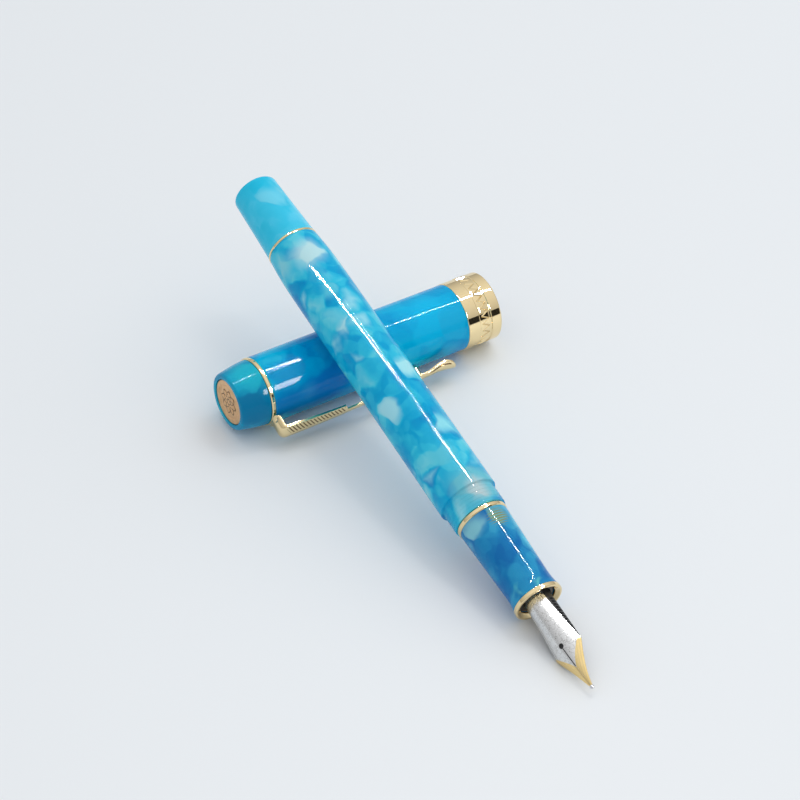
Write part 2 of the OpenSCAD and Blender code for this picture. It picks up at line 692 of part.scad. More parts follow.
// The feed is round below the nib, with a core that fills the nib's arch. Slots across its
// sides leave a row of thin air fins.
module feed() {
    core_r = nib_height - nib_t - press_gap;
    keel_r = housing_bore_r - press_gap;
    edge_x = nib_height - nib_sag(0) - 0.12;
    front = nib_shoulder_v + feed_reach;
    back = housing_sink + housing_len - 1;
    whole = back + front;
    fins = floor((nib_shoulder_v - 3.2)/(2*fin_w));
    under = [for (v = [nib_straight_len:1:front])
             [nib_crest(v) - nib_t - face_gap - feed_nose_t*(v - nib_straight_len)/whole, z_rim + v]];
    waist_v = nib_straight_len - 1.5;
    color(black) nib_frame() difference() {
        intersection() {
            translate([0, 0, z_rim - back]) union() {
                cylinder(r = core_r, h = whole);
                intersection() {
                    cylinder(r = keel_r, h = whole);
                    translate([-2*keel_r, -keel_r, 0])
                        cube([2*keel_r + edge_x, 2*keel_r, whole]);
                }
            }
            // side view: the nose runs up to the nib's underside
            rotate([90, 0, 0]) linear_extrude(4*keel_r, center = true) polygon(concat(
                [[-2*keel_r, z_rim - back - 1], [2*keel_r, z_rim - back - 1],
                 [core_r + 0.1, z_rim + waist_v]],
                under,
                [[nib_crest(front) - nib_t - feed_nose_t, z_rim + front],
                 [-keel_r/3, z_rim + front - 3.2], [-keel_r*0.87, z_rim + front - 7.6],
                 [-2*keel_r, z_rim + front - 9.5]]));
            // plan view: the sides draw in towards the nose
            rotate([0, 90, 0]) linear_extrude(4*keel_r, center = true) polygon([
                [-(z_rim - back - 1), keel_r + 1], [-(z_rim - back - 1), -keel_r - 1],
                [-(z_rim + waist_v), -keel_r - 0.1], [-(z_rim + nib_shoulder_v), -keel_r*0.66],
                [-(z_rim + front), -feed_nose_w/2], [-(z_rim + front), feed_nose_w/2],
                [-(z_rim + nib_shoulder_v), keel_r*0.66], [-(z_rim + waist_v), keel_r + 0.1]]);
        }
        for (i = [0:fins - 1])
            translate([0, 0, z_rim + 1.1 + i*2*fin_w]) difference() {
                translate([-2*keel_r, -2*keel_r, 0]) cube([2*keel_r + edge_x - 0.4, 4*keel_r, fin_w]);
                translate([0, 0, -eps]) cylinder(r = keel_r - fin_depth, h = fin_w + 2*eps);
            }
    }
}

module nib_housing() {
    r = housing_d/2;
    z1 = z_rim - housing_sink;
    color(black) in_pen() rotate_extrude() polygon([
        [housing_bore_r, z_housing + 1], [housing_bore_r, z1 - 0.3], [housing_bore_r + 0.3, z1],
        [r - 0.2, z1], [r, z1 - 0.2], [r, z_housing], [nipple_d/2, z_housing],
        [nipple_d/2, z_housing - nipple_len + 0.4], [nipple_d/2 - 0.3, z_housing - nipple_len],
        [nipple_d/4, z_housing - nipple_len], [nipple_d/4, z_housing + 1]]);
}

// ---- Converter ----

module converter_tube() {
    r = converter_d/2;
    neck_r = r - 0.2;
    throat_r = nipple_bore_r - 0.4;
    color([0.85, 0.9, 0.92, 0.5]) in_pen() rotate_extrude() polygon([
        [nipple_bore_r, z_neck], [neck_r - 0.3, z_neck], [neck_r, z_neck - 0.3],
        [neck_r, z_shelf + 0.6], [r, z_shelf - 0.2], [r, z_clear], [converter_bore_r, z_clear],
        [converter_bore_r, z_shelf - 1], [throat_r, z_shelf - 0.4],
        [throat_r, z_shelf], [nipple_bore_r, z_shelf]]);
}

module converter_collar() {
    r = collar_d/2;
    in_r = converter_d/2 + press_gap;
    z1 = z_clear + collar_len;
    bead = z_clear + 0.6;
    color(steel) in_pen() rotate_extrude() polygon([
        [in_r, z_clear], [in_r, z1], [r - edge_break, z1], [r, z1 - edge_break],
        [r, bead + edge_break/2], [r - edge_break/2, bead], [r, bead - edge_break/2],
        [r, z_clear + edge_break/2], [r - edge_break/2, z_clear]]);
}

module converter_seal() {
    r = converter_bore_r - run_gap;
    waist_r = r - 0.3;
    z0 = z_seal - seal_len;
    color(black) in_pen() rotate_extrude() polygon([
        [0, z_seal], [r*0.55, z_seal], [r, z_seal - 0.6], [r, z_seal - 1], [waist_r, z_seal - 1.3],
        [waist_r, z0 + 1.1], [r, z0 + 0.9], [r, z0 + 0.3], [waist_r, z0], [0, z0]]);
}

module converter_rod() {
    r = rod_d/2;
    color(black) in_pen() rotate_extrude() polygon([
        [0, z_seal - seal_len], [r, z_seal - seal_len], [r, rod_end_z + edge_break],
        [r - edge_break, rod_end_z], [0, rod_end_z]]);
}

module converter_knob() {
    r = knob_d/2;
    round_r = 0.7;
    groove_r = 0.3;
    bore_r = rod_d/2 + run_gap;
    sleeve_r = converter_bore_r - run_gap;
    color(steel) in_pen() difference() {
        rotate_extrude() polygon(concat(
            [[0, z_knob_end]], arc(r - round_r, z_knob_end + round_r, round_r, -90, 0, 5),
            [[r, z_knob - edge_break], [r - edge_break, z_knob], [sleeve_r, z_knob],
             [sleeve_r, z_sleeve], [bore_r, z_sleeve],
             [bore_r, z_knob_end + knob_floor], [0, z_knob_end + knob_floor]]));
        for (i = [0:knob_grooves - 1])
            rotate([0, 0, 360*i/knob_grooves])
                translate([r + groove_r/3, 0, z_knob_end + 2*round_r])
                    cylinder(r = groove_r, h = z_knob - z_knob_end - 4*round_r, $fn = 20);
    }
}

cap_tube();
cap_finial();
finial_medallion();
finial_stud();
clip_ring();
clip_arm();
cap_band();
inner_cap();
barrel_tube();
barrel_tail();
tail_ring();
barrel_bushing();
mouth_ring();
section_grip();
section_end_ring();
section_connector();
nib_housing();
feed();
nib();
nib_tipping();
converter_tube();
converter_collar();
converter_seal();
converter_rod();
converter_knob();
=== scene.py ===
"""Fountain pen in marbled resin with pale gold trim, lying across its own cap.

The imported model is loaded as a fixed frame. Turned pieces are turned again from the outline of
their own solid, with rounded edges; the clip, the nib and the ornaments are modelled here. All
sizes in this file are in the pen's or the cap's own millimetres unless a name says otherwise.
"""

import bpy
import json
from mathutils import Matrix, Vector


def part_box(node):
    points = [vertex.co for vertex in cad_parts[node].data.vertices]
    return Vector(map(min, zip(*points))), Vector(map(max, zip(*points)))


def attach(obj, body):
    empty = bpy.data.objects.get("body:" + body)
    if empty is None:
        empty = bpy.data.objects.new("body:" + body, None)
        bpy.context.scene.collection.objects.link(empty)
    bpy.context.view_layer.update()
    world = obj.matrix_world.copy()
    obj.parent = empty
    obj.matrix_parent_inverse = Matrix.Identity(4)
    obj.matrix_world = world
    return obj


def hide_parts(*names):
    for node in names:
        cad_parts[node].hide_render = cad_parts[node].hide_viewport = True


bl_info = {
    "name": "Marbled fountain pen",
    "version": (1, 0, 0),
    "blender": (4, 5, 0),
    "location": "View3D > Sidebar > Pen",
    "description": "Dresses a fountain pen and its cap in resin, plate, steel and plastic",
    "category": "Object",
}

import json
import math

import bmesh
import bpy
from bpy.props import FloatProperty, IntProperty, PointerProperty, StringProperty
from mathutils import Matrix, Vector

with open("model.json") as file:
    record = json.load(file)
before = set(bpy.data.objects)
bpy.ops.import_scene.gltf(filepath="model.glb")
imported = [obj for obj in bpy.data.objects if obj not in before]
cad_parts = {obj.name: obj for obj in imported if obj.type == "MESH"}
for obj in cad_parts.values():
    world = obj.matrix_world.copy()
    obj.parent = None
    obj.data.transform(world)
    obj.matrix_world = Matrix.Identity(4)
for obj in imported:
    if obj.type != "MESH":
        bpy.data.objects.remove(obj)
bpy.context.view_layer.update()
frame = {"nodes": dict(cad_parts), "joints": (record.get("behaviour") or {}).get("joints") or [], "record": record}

MM = 0.001
# Steps round a turned piece
TURN_STEPS = 144


# ---- Places ----


def mount(name):
    """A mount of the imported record."""
    return next(m for m in frame["record"]["mounts"] if m["name"] == name)


def joint(name):
    """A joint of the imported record."""
    return next(j for j in frame["joints"] if j["name"] == name)


def turn_to(x, z):
    """The turn that lays the X and Z axes along two given ways."""
    return Matrix((x, z.cross(x), z)).transposed().to_4x4()


def own_axes(origin, x, z):
    """Matrix from a piece's own millimetres to the frame's metres."""
    return Matrix.Translation(origin) @ turn_to(x, z) @ Matrix.Scale(MM, 4)


def own_points(node, place):
    """The corners of a CAD node in own millimetres."""
    back = place.inverted()
    return [back @ v.co for v in frame["nodes"][node].data.vertices]


def stretch(node, place):
    """First and last station of a CAD node along its axis."""
    stations = [p.z for p in own_points(node, place)]
    return min(stations), max(stations)


def radius_of(node, place):
    """Largest radius of a CAD node about its axis."""
    return max(math.hypot(p.x, p.y) for p in own_points(node, place))


def pen_axes():
    """The pen's own axes: Z runs from the tail end to the nib, X points down."""
    tail = mount("tail_face")
    z = -Vector(tail["axis"]).normalized()
    down = Vector((0, 0, -1))
    return own_axes(Vector(tail["pos_m"]), (down - down.dot(z) * z).normalized(), z)


def cap_axes():
    """The cap's own axes: Z runs from the finial face to the mouth, X points along the pen."""
    mouth = mount("cap_mouth")
    origin = Vector(mouth["pos_m"])
    origin.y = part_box("cap_finial")[0].y
    return own_axes(origin, Vector((1, 0, 0)), Vector(mouth["axis"]))


PEN = pen_axes()
CAP = cap_axes()


def nib_axes():
    """The nib's own axes: X points to its crest, Z from the rim of the grip to the tip."""
    corners = own_points("nib_tipping", PEN)
    crest = sum(corners, Vector()) / len(corners)
    rim = stretch("section_end_ring", PEN)[1]
    turn = Matrix.Rotation(math.atan2(crest.y, crest.x), 4, "Z")
    return PEN @ Matrix.Translation((0, 0, rim)) @ turn


def clip_axes():
    """The clip's own axes: X points from the cap's axis to the clip's crest, Z to the mouth."""
    hinge = Vector(joint("clip_flex")["axis"])
    along = Vector(mount("cap_mouth")["axis"])
    return own_axes(CAP.translation, hinge.cross(along).normalized(), along)


NIB = nib_axes()
CLIP = clip_axes()


# ---- Meshes ----


def finished(name, mesh, place, material, body, replaces=(), sharp=35):
    """Puts a mesh drawn in own millimetres in its place, joins it to its body and hides the solids it replaces."""
    mesh.transform(place)
    piece = bpy.data.objects.new(name, mesh)
    bpy.context.scene.collection.objects.link(piece)
    mesh.materials.clear()
    mesh.materials.append(material)
    mesh.polygons.foreach_set("use_smooth", [True] * len(mesh.polygons))
    mesh.set_sharp_from_angle(angle=math.radians(sharp))
    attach(piece, body)
    if replaces:
        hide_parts(*replaces)
    return piece


def mesh_from(name, points, faces):
    """A closed mesh from points and faces, with doubles merged and normals turned outwards."""
    form = bmesh.new()
    corners = [form.verts.new(p) for p in points]
    for face in faces:
        form.faces.new([corners[i] for i in face])
    bmesh.ops.remove_doubles(form, verts=form.verts, dist=1e-4)
    bmesh.ops.dissolve_degenerate(form, edges=form.edges, dist=1e-5)
    bmesh.ops.recalc_face_normals(form, faces=form.faces)
    mesh = bpy.data.meshes.new(name)
    form.to_mesh(mesh)
    form.free()
    return mesh


def lofted(name, rows):
    """A closed skin over rows of points, each a closed loop, with both ends filled."""
    per = len(rows[0])
    faces = [list(range(per)), list(range((len(rows) - 1) * per, len(rows) * per))]
    for i in range(len(rows) - 1):
        for j in range(per):
            k = (j + 1) % per
            faces.append([i * per + j, i * per + k, (i + 1) * per + k, (i + 1) * per + j])
    return mesh_from(name, [p for row in rows for p in row], faces)


def snapped(spots, reach=0.004, look_back=60):
    """Gives spots that lie within reach of each other one common value."""
    kept = []
    same = {}
    for spot in sorted(set(spots)):
        near = next((k for k in reversed(kept[-look_back:]) if math.dist(k, spot) < reach), None)
        if near is None:
            kept.append(spot)
            near = spot
        same[spot] = near
    return [same[s] for s in spots]


def outline_of(node, place):
    """The turned outline of a CAD node: an ordered list of (radius, station).

    Every edge of a turned mesh that isn't part of a circle joins two neighbouring points of the
    outline, so walking those edges once gives the outline back."""
    spots = snapped([(round(math.hypot(p.x, p.y), 4), round(p.z, 4)) for p in own_points(node, place)])
    links = {}
    for edge in frame["nodes"][node].data.edges:
        a, b = (spots[i] for i in edge.vertices)
        if a != b:
            links.setdefault(a, set()).add(b)
            links.setdefault(b, set()).add(a)
    ends = sorted(s for s in links if len(links[s]) == 1)
    walk = [ends[0] if ends else max(links)]
    seen = {walk[0]}
    while True:
        ahead = [s for s in links[walk[-1]] if s not in seen]
        if not ahead:
            break
        walk.append(min(ahead, key=lambda s: math.dist(s, walk[-1])))
        seen.add(walk[-1])
    if ends:
        walk = [(0.0, walk[0][1])] + walk + [(0.0, walk[-1][1])]
    return walk


def without_repeats(outline, least_gap=0.003, least_bend=0.0008):
    """The outline without points in the middle of a straight stretch or on each other."""
    apart = [p for i, p in enumerate(outline) if math.dist(p, outline[i - 1]) > least_gap]
    kept = []
    for i, point in enumerate(apart):
        a = Vector(point) - Vector(apart[i - 1])
        b = Vector(apart[(i + 1) % len(apart)]) - Vector(point)
        if abs(a.angle_signed(b)) > least_bend or point[0] < 1e-6:
            kept.append(point)
    return kept


# The most of a side that a rounded corner takes, and how far its guard points stand off the arc
CORNER_SHARE = 0.4
GUARD_SHARE = 0.2


def rounded(outline, edge_r, gentle=0.25, arc_steps=4):
    """Rounds the outline's corners by edge_r and smooths its gentle bends into one curve.

    A guard point close before and behind each rounded corner keeps the shading of long sides straight."""
    outline = without_repeats(outline)
    made = []
    for i, point in enumerate(outline):
        before, here = Vector(outline[i - 1]), Vector(point)
        after = Vector(outline[(i + 1) % len(outline)])
        if here.x < 1e-6:
            made.append(tuple(here))
            continue
        a, b = here - before, after - here
        sharp = abs(a.angle_signed(b)) >= gentle
        if sharp:
            cut_a = cut_b = min(edge_r, CORNER_SHARE * a.length, CORNER_SHARE * b.length)
        else:
            cut_a, cut_b = a.length / 2, b.length / 2
        start, end = here - a.normalized() * cut_a, here + b.normalized() * cut_b
        if sharp:
            made.append(tuple(start - a.normalized() * cut_a * GUARD_SHARE))
        for k in range(arc_steps + 1):
            t = k / arc_steps
            made.append(tuple(start * (1 - t) ** 2 + here * 2 * t * (1 - t) + end * t * t))
        if sharp:
            made.append(tuple(end + b.normalized() * cut_b * GUARD_SHARE))
    return made


def turned(name, outline, steps=TURN_STEPS):
    """A closed mesh turned about Z from an outline of (radius, station)."""
    points, faces, rings = [], [], []
    for radius, station in outline:
        if radius < 1e-6:
            rings.append([len(points)] * steps)
            points.append((0, 0, station))
            continue
        rings.append(list(range(len(points), len(points) + steps)))
        for k in range(steps):
            angle = 2 * math.pi * k / steps
            points.append((radius * math.cos(angle), radius * math.sin(angle), station))
    for i, ring in enumerate(rings):
        follow = rings[(i + 1) % len(rings)]
        for k in range(steps):
            n = (k + 1) % steps
            corners = [ring[k], ring[n], follow[n], follow[k]]
            face = [c for j, c in enumerate(corners) if c != corners[j - 1]]
            if len(face) > 2:
                faces.append(face)
    return mesh_from(name, points, faces)


def node_body(node):
    """The body that a CAD node belongs to."""
    return next(b for b, nodes in frame["record"]["behaviour"]["bodies"].items() if node in nodes)


def turn_again(nodes, place, material, edge_r):
    """Turns CAD nodes of one finish again with rounded edges, as the pieces that show."""
    for node in nodes:
        mesh = turned(node + "_turned", rounded(outline_of(node, place), edge_r))
        finished(node + "_turned", mesh, place, material, node_body(node), (node,))


def dress(nodes, material):
    """Gives CAD nodes that stay as they are their material."""
    for node in nodes:
        for slot in frame["nodes"][node].material_slots:
            slot.material = material


# ---- Nodes ----


def add(tree, kind, *values, **named):
    """Adds a node and gives back its outputs.

    Values go to its inputs in order, or by name with _ for a space. A socket is linked, and
    anything else is set. A name in lower case is one of the node's own settings."""
    made = tree.nodes.new(kind)
    for key, value in named.items():
        if key.islower():
            setattr(made, key, value)
    inputs = [socket for socket in made.inputs if socket.enabled]
    by_name = {socket.name.replace(" ", "_"): socket for socket in reversed(inputs)}
    filled = list(zip(inputs, values))
    filled += [(by_name[key], value) for key, value in named.items() if not key.islower()]
    for socket, value in filled:
        if isinstance(value, bpy.types.NodeSocket):
            tree.links.new(value, socket)
        else:
            socket.default_value = value
    return made.outputs


def grown(name, shape, sizes, material, base=None):
    """Grows a plain mesh by Geometry Nodes: shape adds the nodes between the tree's named sizes and
    its result, which ends as real geometry in one material."""
    tree = bpy.data.node_groups.new(name, "GeometryNodeTree")
    tree.interface.new_socket(name="Geometry", in_out="INPUT", socket_type="NodeSocketGeometry")
    for label, size in sizes.items():
        kind = "NodeSocketInt" if isinstance(size, int) else "NodeSocketFloat"
        tree.interface.new_socket(name=label, in_out="INPUT", socket_type=kind).default_value = size
    tree.interface.new_socket(name="Geometry", in_out="OUTPUT", socket_type="NodeSocketGeometry")
    shaped = shape(tree, tree.nodes.new("NodeGroupInput").outputs)
    real = add(tree, "GeometryNodeRealizeInstances", shaped)[0]
    finished_form = add(tree, "GeometryNodeSetMaterial", real, Material=material)[0]
    add(tree, "NodeGroupOutput", finished_form)
    host = bpy.data.objects.new(name, base or bpy.data.meshes.new(name))
    bpy.context.scene.collection.objects.link(host)
    grower = host.modifiers.new("grow", "NODES")
    grower.node_group = tree
    for item in tree.interface.items_tree:
        if item.in_out == "INPUT" and item.name in sizes:
            grower[item.identifier] = sizes[item.name]
    shown = host.evaluated_get(bpy.context.evaluated_depsgraph_get())
    mesh = bpy.data.meshes.new_from_object(shown)
    host.modifiers.remove(grower)
    bpy.data.objects.remove(host)
    return mesh


def ring_of_points(tree, count, radius, station):
    """Points at equal steps round the Z axis, with their angle and their number."""
    number = add(tree, "GeometryNodeInputIndex")[0]
    step = add(tree, "ShaderNodeMath", 2 * math.pi, count, operation="DIVIDE")[0]
    angle = add(tree, "ShaderNodeMath", number, step, operation="MULTIPLY")[0]
    cosine = add(tree, "ShaderNodeMath", angle, operation="COSINE")[0]
    sine = add(tree, "ShaderNodeMath", angle, operation="SINE")[0]
    x = add(tree, "ShaderNodeMath", radius, cosine, operation="MULTIPLY")[0]
    y = add(tree, "ShaderNodeMath", radius, sine, operation="MULTIPLY")[0]
    spot = add(tree, "ShaderNodeCombineXYZ", x, y, station)[0]
    return add(tree, "GeometryNodePoints", Count=count, Position=spot)[0], angle, number


# ---- Materials ----


SMOOTH = {"interpolation_type": "SMOOTHSTEP"}
# Length over which a wave texture of scale 1 repeats
WAVE_PERIOD = 0.314


def colour(hex_code):
    """The linear colour of an sRGB hex value."""
    parts = [int(hex_code.lstrip("#")[i:i + 2], 16) / 255 for i in (0, 2, 4)]
    return tuple(c / 12.92 if c <= 0.04045 else ((c + 0.055) / 1.055) ** 2.4 for c in parts) + (1.0,)


def blank_material(name):
    """A material with an empty tree."""
    material = bpy.data.materials.new(name)
    material.use_nodes = True
    material.node_tree.nodes.clear()
    return material, material.node_tree


def close_material(tree, **surface):
    """Ends a tree in one shader with these inputs, whose names use _ for a space."""
    add(tree, "ShaderNodeOutputMaterial", add(tree, "ShaderNodeBsdfPrincipled", **surface)[0])


def own_coordinates(tree, place, shift=(0, 0, 0)):
    """Object coordinates as a piece's own millimetres, so that every pattern keeps its real size."""
    back = place.inverted()
    spot = add(tree, "ShaderNodeTexCoord")["Object"]
    return add(tree, "ShaderNodeMapping", spot, back.translation + Vector(shift), back.to_euler(),
               back.to_scale(), vector_type="POINT")[0]


def round_spot(angle, radius, station):
    """The place in own millimetres at an angle, radius and station."""
    turn = math.radians(angle)
    return Vector((radius * math.cos(turn), radius * math.sin(turn), station))


def chip_mask(tree, place, middle, size):
    """1 inside a loose chip about its middle, fading out softly."""
    away = add(tree, "ShaderNodeVectorMath", place, middle, operation="DISTANCE")["Value"]
    return add(tree, "ShaderNodeMapRange", away, 0.5 * size, 1.25 * size, 1.0, 0.0, **SMOOTH)[0]


def resin_material(name, place, tones, milk, shift, chip_mm, milky_share, chips=(), threads=()):
    """Cast acrylic, turned and buffed: angular chips of clear and milky blue with hazy edges, set in a
    clear body under a bright polish. Light goes a little way in, so no edge of a chip is quite sharp.
    Chips are (angle, station, radius, size, hex): the few large ones that catch the eye, and on the cap
    and finial also patches of painted shade and painted light. Threads, in the same form with their
    pitch for the size, are brass turns that show through a pale spot."""
    material, tree = blank_material(name)
    spot = own_coordinates(tree, place, shift)
    drift = add(tree, "ShaderNodeTexNoise", Vector=spot, Scale=1.1 / chip_mm, Detail=2.0)[1]
    centred = add(tree, "ShaderNodeVectorMath", drift, (0.5,) * 3, operation="SUBTRACT")[0]
    bent = add(tree, "ShaderNodeVectorMath", centred, (0.5 * chip_mm,) * 3, spot,
               operation="MULTIPLY_ADD")[0]
    large, small = [add(tree, "ShaderNodeTexVoronoi", Vector=bent, Scale=1 / size, Smoothness=0.3,
                        feature="SMOOTH_F1") for size in (chip_mm, 0.5 * chip_mm)]
    large_tint = add(tree, "ShaderNodeSeparateColor", large["Color"])
    small_tint = add(tree, "ShaderNodeSeparateColor", small["Color"])
    angular = add(tree, "ShaderNodeMix", 0.35, bent, large["Position"], data_type="VECTOR")[1]
    seam = add(tree, "ShaderNodeTexVoronoi", Vector=bent, Scale=1 / chip_mm,
               feature="DISTANCE_TO_EDGE")["Distance"]
    cloud = add(tree, "ShaderNodeTexNoise", Vector=spot, Scale=1 / (1.1 * chip_mm), Detail=2.0)[0]
    depth = add(tree, "ShaderNodeTexNoise", Vector=spot, Scale=1 / (3.2 * chip_mm), Detail=1.0)[0]
    tone = 0.0
    for share, part in ((0.3, large_tint[0]), (0.14, small_tint[0]), (0.28, cloud), (0.28, depth)):
        tone = add(tree, "ShaderNodeMath", part, share, tone, operation="MULTIPLY_ADD")[0]
    marbled = add(tree, "ShaderNodeValToRGB", tone)[0]
    stops = marbled.node.color_ramp.elements
    while len(stops) < len(tones):
        stops.new(0.5)
    for stop, (share, hex_code) in zip(stops, tones):
        stop.position = share
        stop.color = colour(hex_code)
    body = add(tree, "ShaderNodeMapRange", seam, 0.0, 0.34, **SMOOTH)[0]
    chosen = add(tree, "ShaderNodeMapRange", large_tint[1], 1 - milky_share, 1.3 - milky_share, **SMOOTH)[0]
    thick = add(tree, "ShaderNodeMapRange", cloud, 0.3, 0.62, **SMOOTH)[0]
    milky = add(tree, "ShaderNodeMath", chosen, body, operation="MULTIPLY")[0]
    milky = add(tree, "ShaderNodeMath", milky, thick, operation="MULTIPLY")[0]
    marbled = add(tree, "ShaderNodeMix", milky, marbled, colour(milk), data_type="RGBA")[2]
    for angle, station, radius, size, hex_code in chips:
        middle = round_spot(angle, radius, station) + Vector(shift)
        mask = chip_mask(tree, angular, middle, size)
        marbled = add(tree, "ShaderNodeMix", mask, marbled, colour(hex_code), data_type="RGBA")[2]
    for angle, station, radius, pitch, hex_code in threads:
        middle = round_spot(angle, radius, station) + Vector(shift)
        wave = add(tree, "ShaderNodeTexWave", Vector=spot, Scale=WAVE_PERIOD / pitch, wave_type="BANDS",
                   bands_direction="Z")["Fac"]
        turns = add(tree, "ShaderNodeMapRange", wave, 0.45, 0.75, **SMOOTH)[0]
        mask = add(tree, "ShaderNodeMath", chip_mask(tree, spot, middle, 4 * pitch), turns,
                   operation="MULTIPLY")[0]
        marbled = add(tree, "ShaderNodeMix", mask, marbled, colour(hex_code), data_type="RGBA")[2]
    close_material(tree, Base_Color=marbled, Roughness=0.02, IOR=1.49, Specular_IOR_Level=0.12,
                   Subsurface_Weight=0.15, Subsurface_Radius=(0.5, 1.0, 1.2), Subsurface_Scale=0.6 * MM)
    return material


def plate_material(name, hex_code, roughness, place, mark_mm=0.25, tint="#FFF1CE", groove=None):
    """Gold or bright metal plated over polished brass: a mirror with a trace of buffing marks and
    handling, which show as a slight unevenness of its gloss. Where the mesh stores how deep a groove
    is under the name groove, the groove is painted dark brown: painted shade in the recess, together
    with tarnish that polish can't reach."""
    material, tree = blank_material(name)
    spot = own_coordinates(tree, place)
    wear = add(tree, "ShaderNodeTexNoise", Vector=spot, Scale=1 / 1.6, Detail=4.0, Roughness=0.6)[0]
    gloss = add(tree, "ShaderNodeMapRange", wear, To_Min=roughness * 0.6, To_Max=roughness * 1.5)[0]
    warmth = add(tree, "ShaderNodeMath", wear, 0.3, operation="MULTIPLY")[0]
    warm = add(tree, "ShaderNodeMix", warmth, colour(hex_code), colour(tint), data_type="RGBA")[2]
    # Painted shade: the deeper a groove, the darker brown it is painted, with some tarnish that polish can't reach
    if groove:
        deep = add(tree, "ShaderNodeAttribute", attribute_name=groove)["Fac"]
        shade = add(tree, "ShaderNodeMapRange", deep, 0.15, 0.7, 0.0, 0.95, **SMOOTH)[0]
        warm = add(tree, "ShaderNodeMix", shade, warm, colour("#5E3A1C"), data_type="RGBA")[2]
    marks = add(tree, "ShaderNodeTexNoise", Vector=spot, Scale=1 / mark_mm, Detail=2.0)[0]
    close_material(tree, Base_Color=warm, Metallic=1.0, Roughness=gloss,
                   Normal=add(tree, "ShaderNodeBump", Height=marks, Distance=0.0015 * MM)[0])
    return material


def turned_metal(name, hex_code, place, roughness=0.3, groove_mm=0.12):
    """Brass or steel left as it comes off the lathe: fine rings round its axis from the tool's
    feed, drawn about twice as wide as they are, which spread each highlight along the piece."""
    material, tree = blank_material(name)
    spot = own_coordinates(tree, place)
    rings = add(tree, "ShaderNodeTexWave", Vector=spot, Scale=WAVE_PERIOD / groove_mm, Distortion=0.4,
                wave_type="BANDS", bands_direction="Z")["Fac"]
    stain = add(tree, "ShaderNodeTexNoise", Vector=spot, Scale=1 / 2.2, Detail=3.0)[0]
    share = add(tree, "ShaderNodeMath", stain, 0.35, operation="MULTIPLY")[0]
    toned = add(tree, "ShaderNodeMix", share, colour(hex_code), colour("#5A4A30"), data_type="RGBA")[2]
    close_material(tree, Base_Color=toned, Metallic=1.0, Roughness=roughness,
                   Normal=add(tree, "ShaderNodeBump", Height=rings, Distance=0.006 * MM)[0])
    return material


def bronze_material(name, hex_code, place, petals):
    """A struck disc of gilt bronze: a fine sandblasted grain that keeps it matt beside the polished
    rings, with the dark patina that stays along the struck outlines of a plain rosette."""
    material, tree = blank_material(name)
    spot = own_coordinates(tree, place)
    grain = add(tree, "ShaderNodeTexNoise", Vector=spot, Scale=1 / 0.12, Detail=2.0, Roughness=0.7)[0]
    axes = add(tree, "ShaderNodeSeparateXYZ", spot)
    flat = add(tree, "ShaderNodeCombineXYZ", axes[0], axes[1])[0]
    radius = add(tree, "ShaderNodeVectorMath", flat, operation="LENGTH")["Value"]
    angle = add(tree, "ShaderNodeMath", axes[1], axes[0], operation="ARCTAN2")[0]
    turned_angle = add(tree, "ShaderNodeMath", angle, float(petals), operation="MULTIPLY")[0]
    wave = add(tree, "ShaderNodeMath", turned_angle, operation="COSINE")[0]
    struck = 0.0
    for middle, swing in ((2.35, 0.3), (1.45, -0.35), (0.6, 0.12)):
        outline = add(tree, "ShaderNodeMath", wave, swing, middle, operation="MULTIPLY_ADD")[0]
        beside = add(tree, "ShaderNodeMath", radius, outline, operation="SUBTRACT")[0]
        off = add(tree, "ShaderNodeMath", beside, operation="ABSOLUTE")[0]
        line = add(tree, "ShaderNodeMapRange", off, 0.06, 0.2, 1.0, 0.0, **SMOOTH)[0]
        struck = add(tree, "ShaderNodeMath", line, struck, operation="MAXIMUM")[0]
    blotch = add(tree, "ShaderNodeTexNoise", Vector=spot, Scale=1 / 1.5, Detail=4.0, Roughness=0.6)[0]
    patina = add(tree, "ShaderNodeMapRange", blotch, 0.35, 0.8, 0.0, 0.35, **SMOOTH)[0]
    toned = add(tree, "ShaderNodeMix", patina, colour(hex_code), colour("#9A7244"), data_type="RGBA")[2]
    dark = add(tree, "ShaderNodeMath", struck, 0.8, operation="MULTIPLY")[0]
    toned = add(tree, "ShaderNodeMix", dark, toned, colour("#4E3218"), data_type="RGBA")[2]
    rough = add(tree, "ShaderNodeMath", grain, 0.3, operation="MULTIPLY")[0]
    height = add(tree, "ShaderNodeMath", rough, struck, operation="SUBTRACT")[0]
    close_material(tree, Base_Color=toned, Metallic=1.0, Roughness=0.42,
                   Normal=add(tree, "ShaderNodeBump", Height=height, Distance=0.05 * MM)[0])
    return material


def moulded_plastic(name, hex_code, place, roughness=0.38, grain_mm=0.15):
    """Moulded black ABS: the fine texture of the mould breaks up its gloss into a soft sheen."""
    material, tree = blank_material(name)
    spot = own_coordinates(tree, place)
    grain = add(tree, "ShaderNodeTexNoise", Vector=spot, Scale=1 / grain_mm, Detail=2.0)[0]
    patch = add(tree, "ShaderNodeTexNoise", Vector=spot, Scale=1 / 3.0, Detail=3.0)[0]
    gloss = add(tree, "ShaderNodeMapRange", patch, To_Min=roughness * 0.7, To_Max=roughness * 1.3)[0]
    share = add(tree, "ShaderNodeMath", patch, 0.4, operation="MULTIPLY")[0]
    toned = add(tree, "ShaderNodeMix", share, colour(hex_code), colour("#2A2A2C"), data_type="RGBA")[2]
    close_material(tree, Base_Color=toned, Roughness=gloss, IOR=1.53,
                   Normal=add(tree, "ShaderNodeBump", Height=grain, Distance=0.004 * MM)[0])
    return material


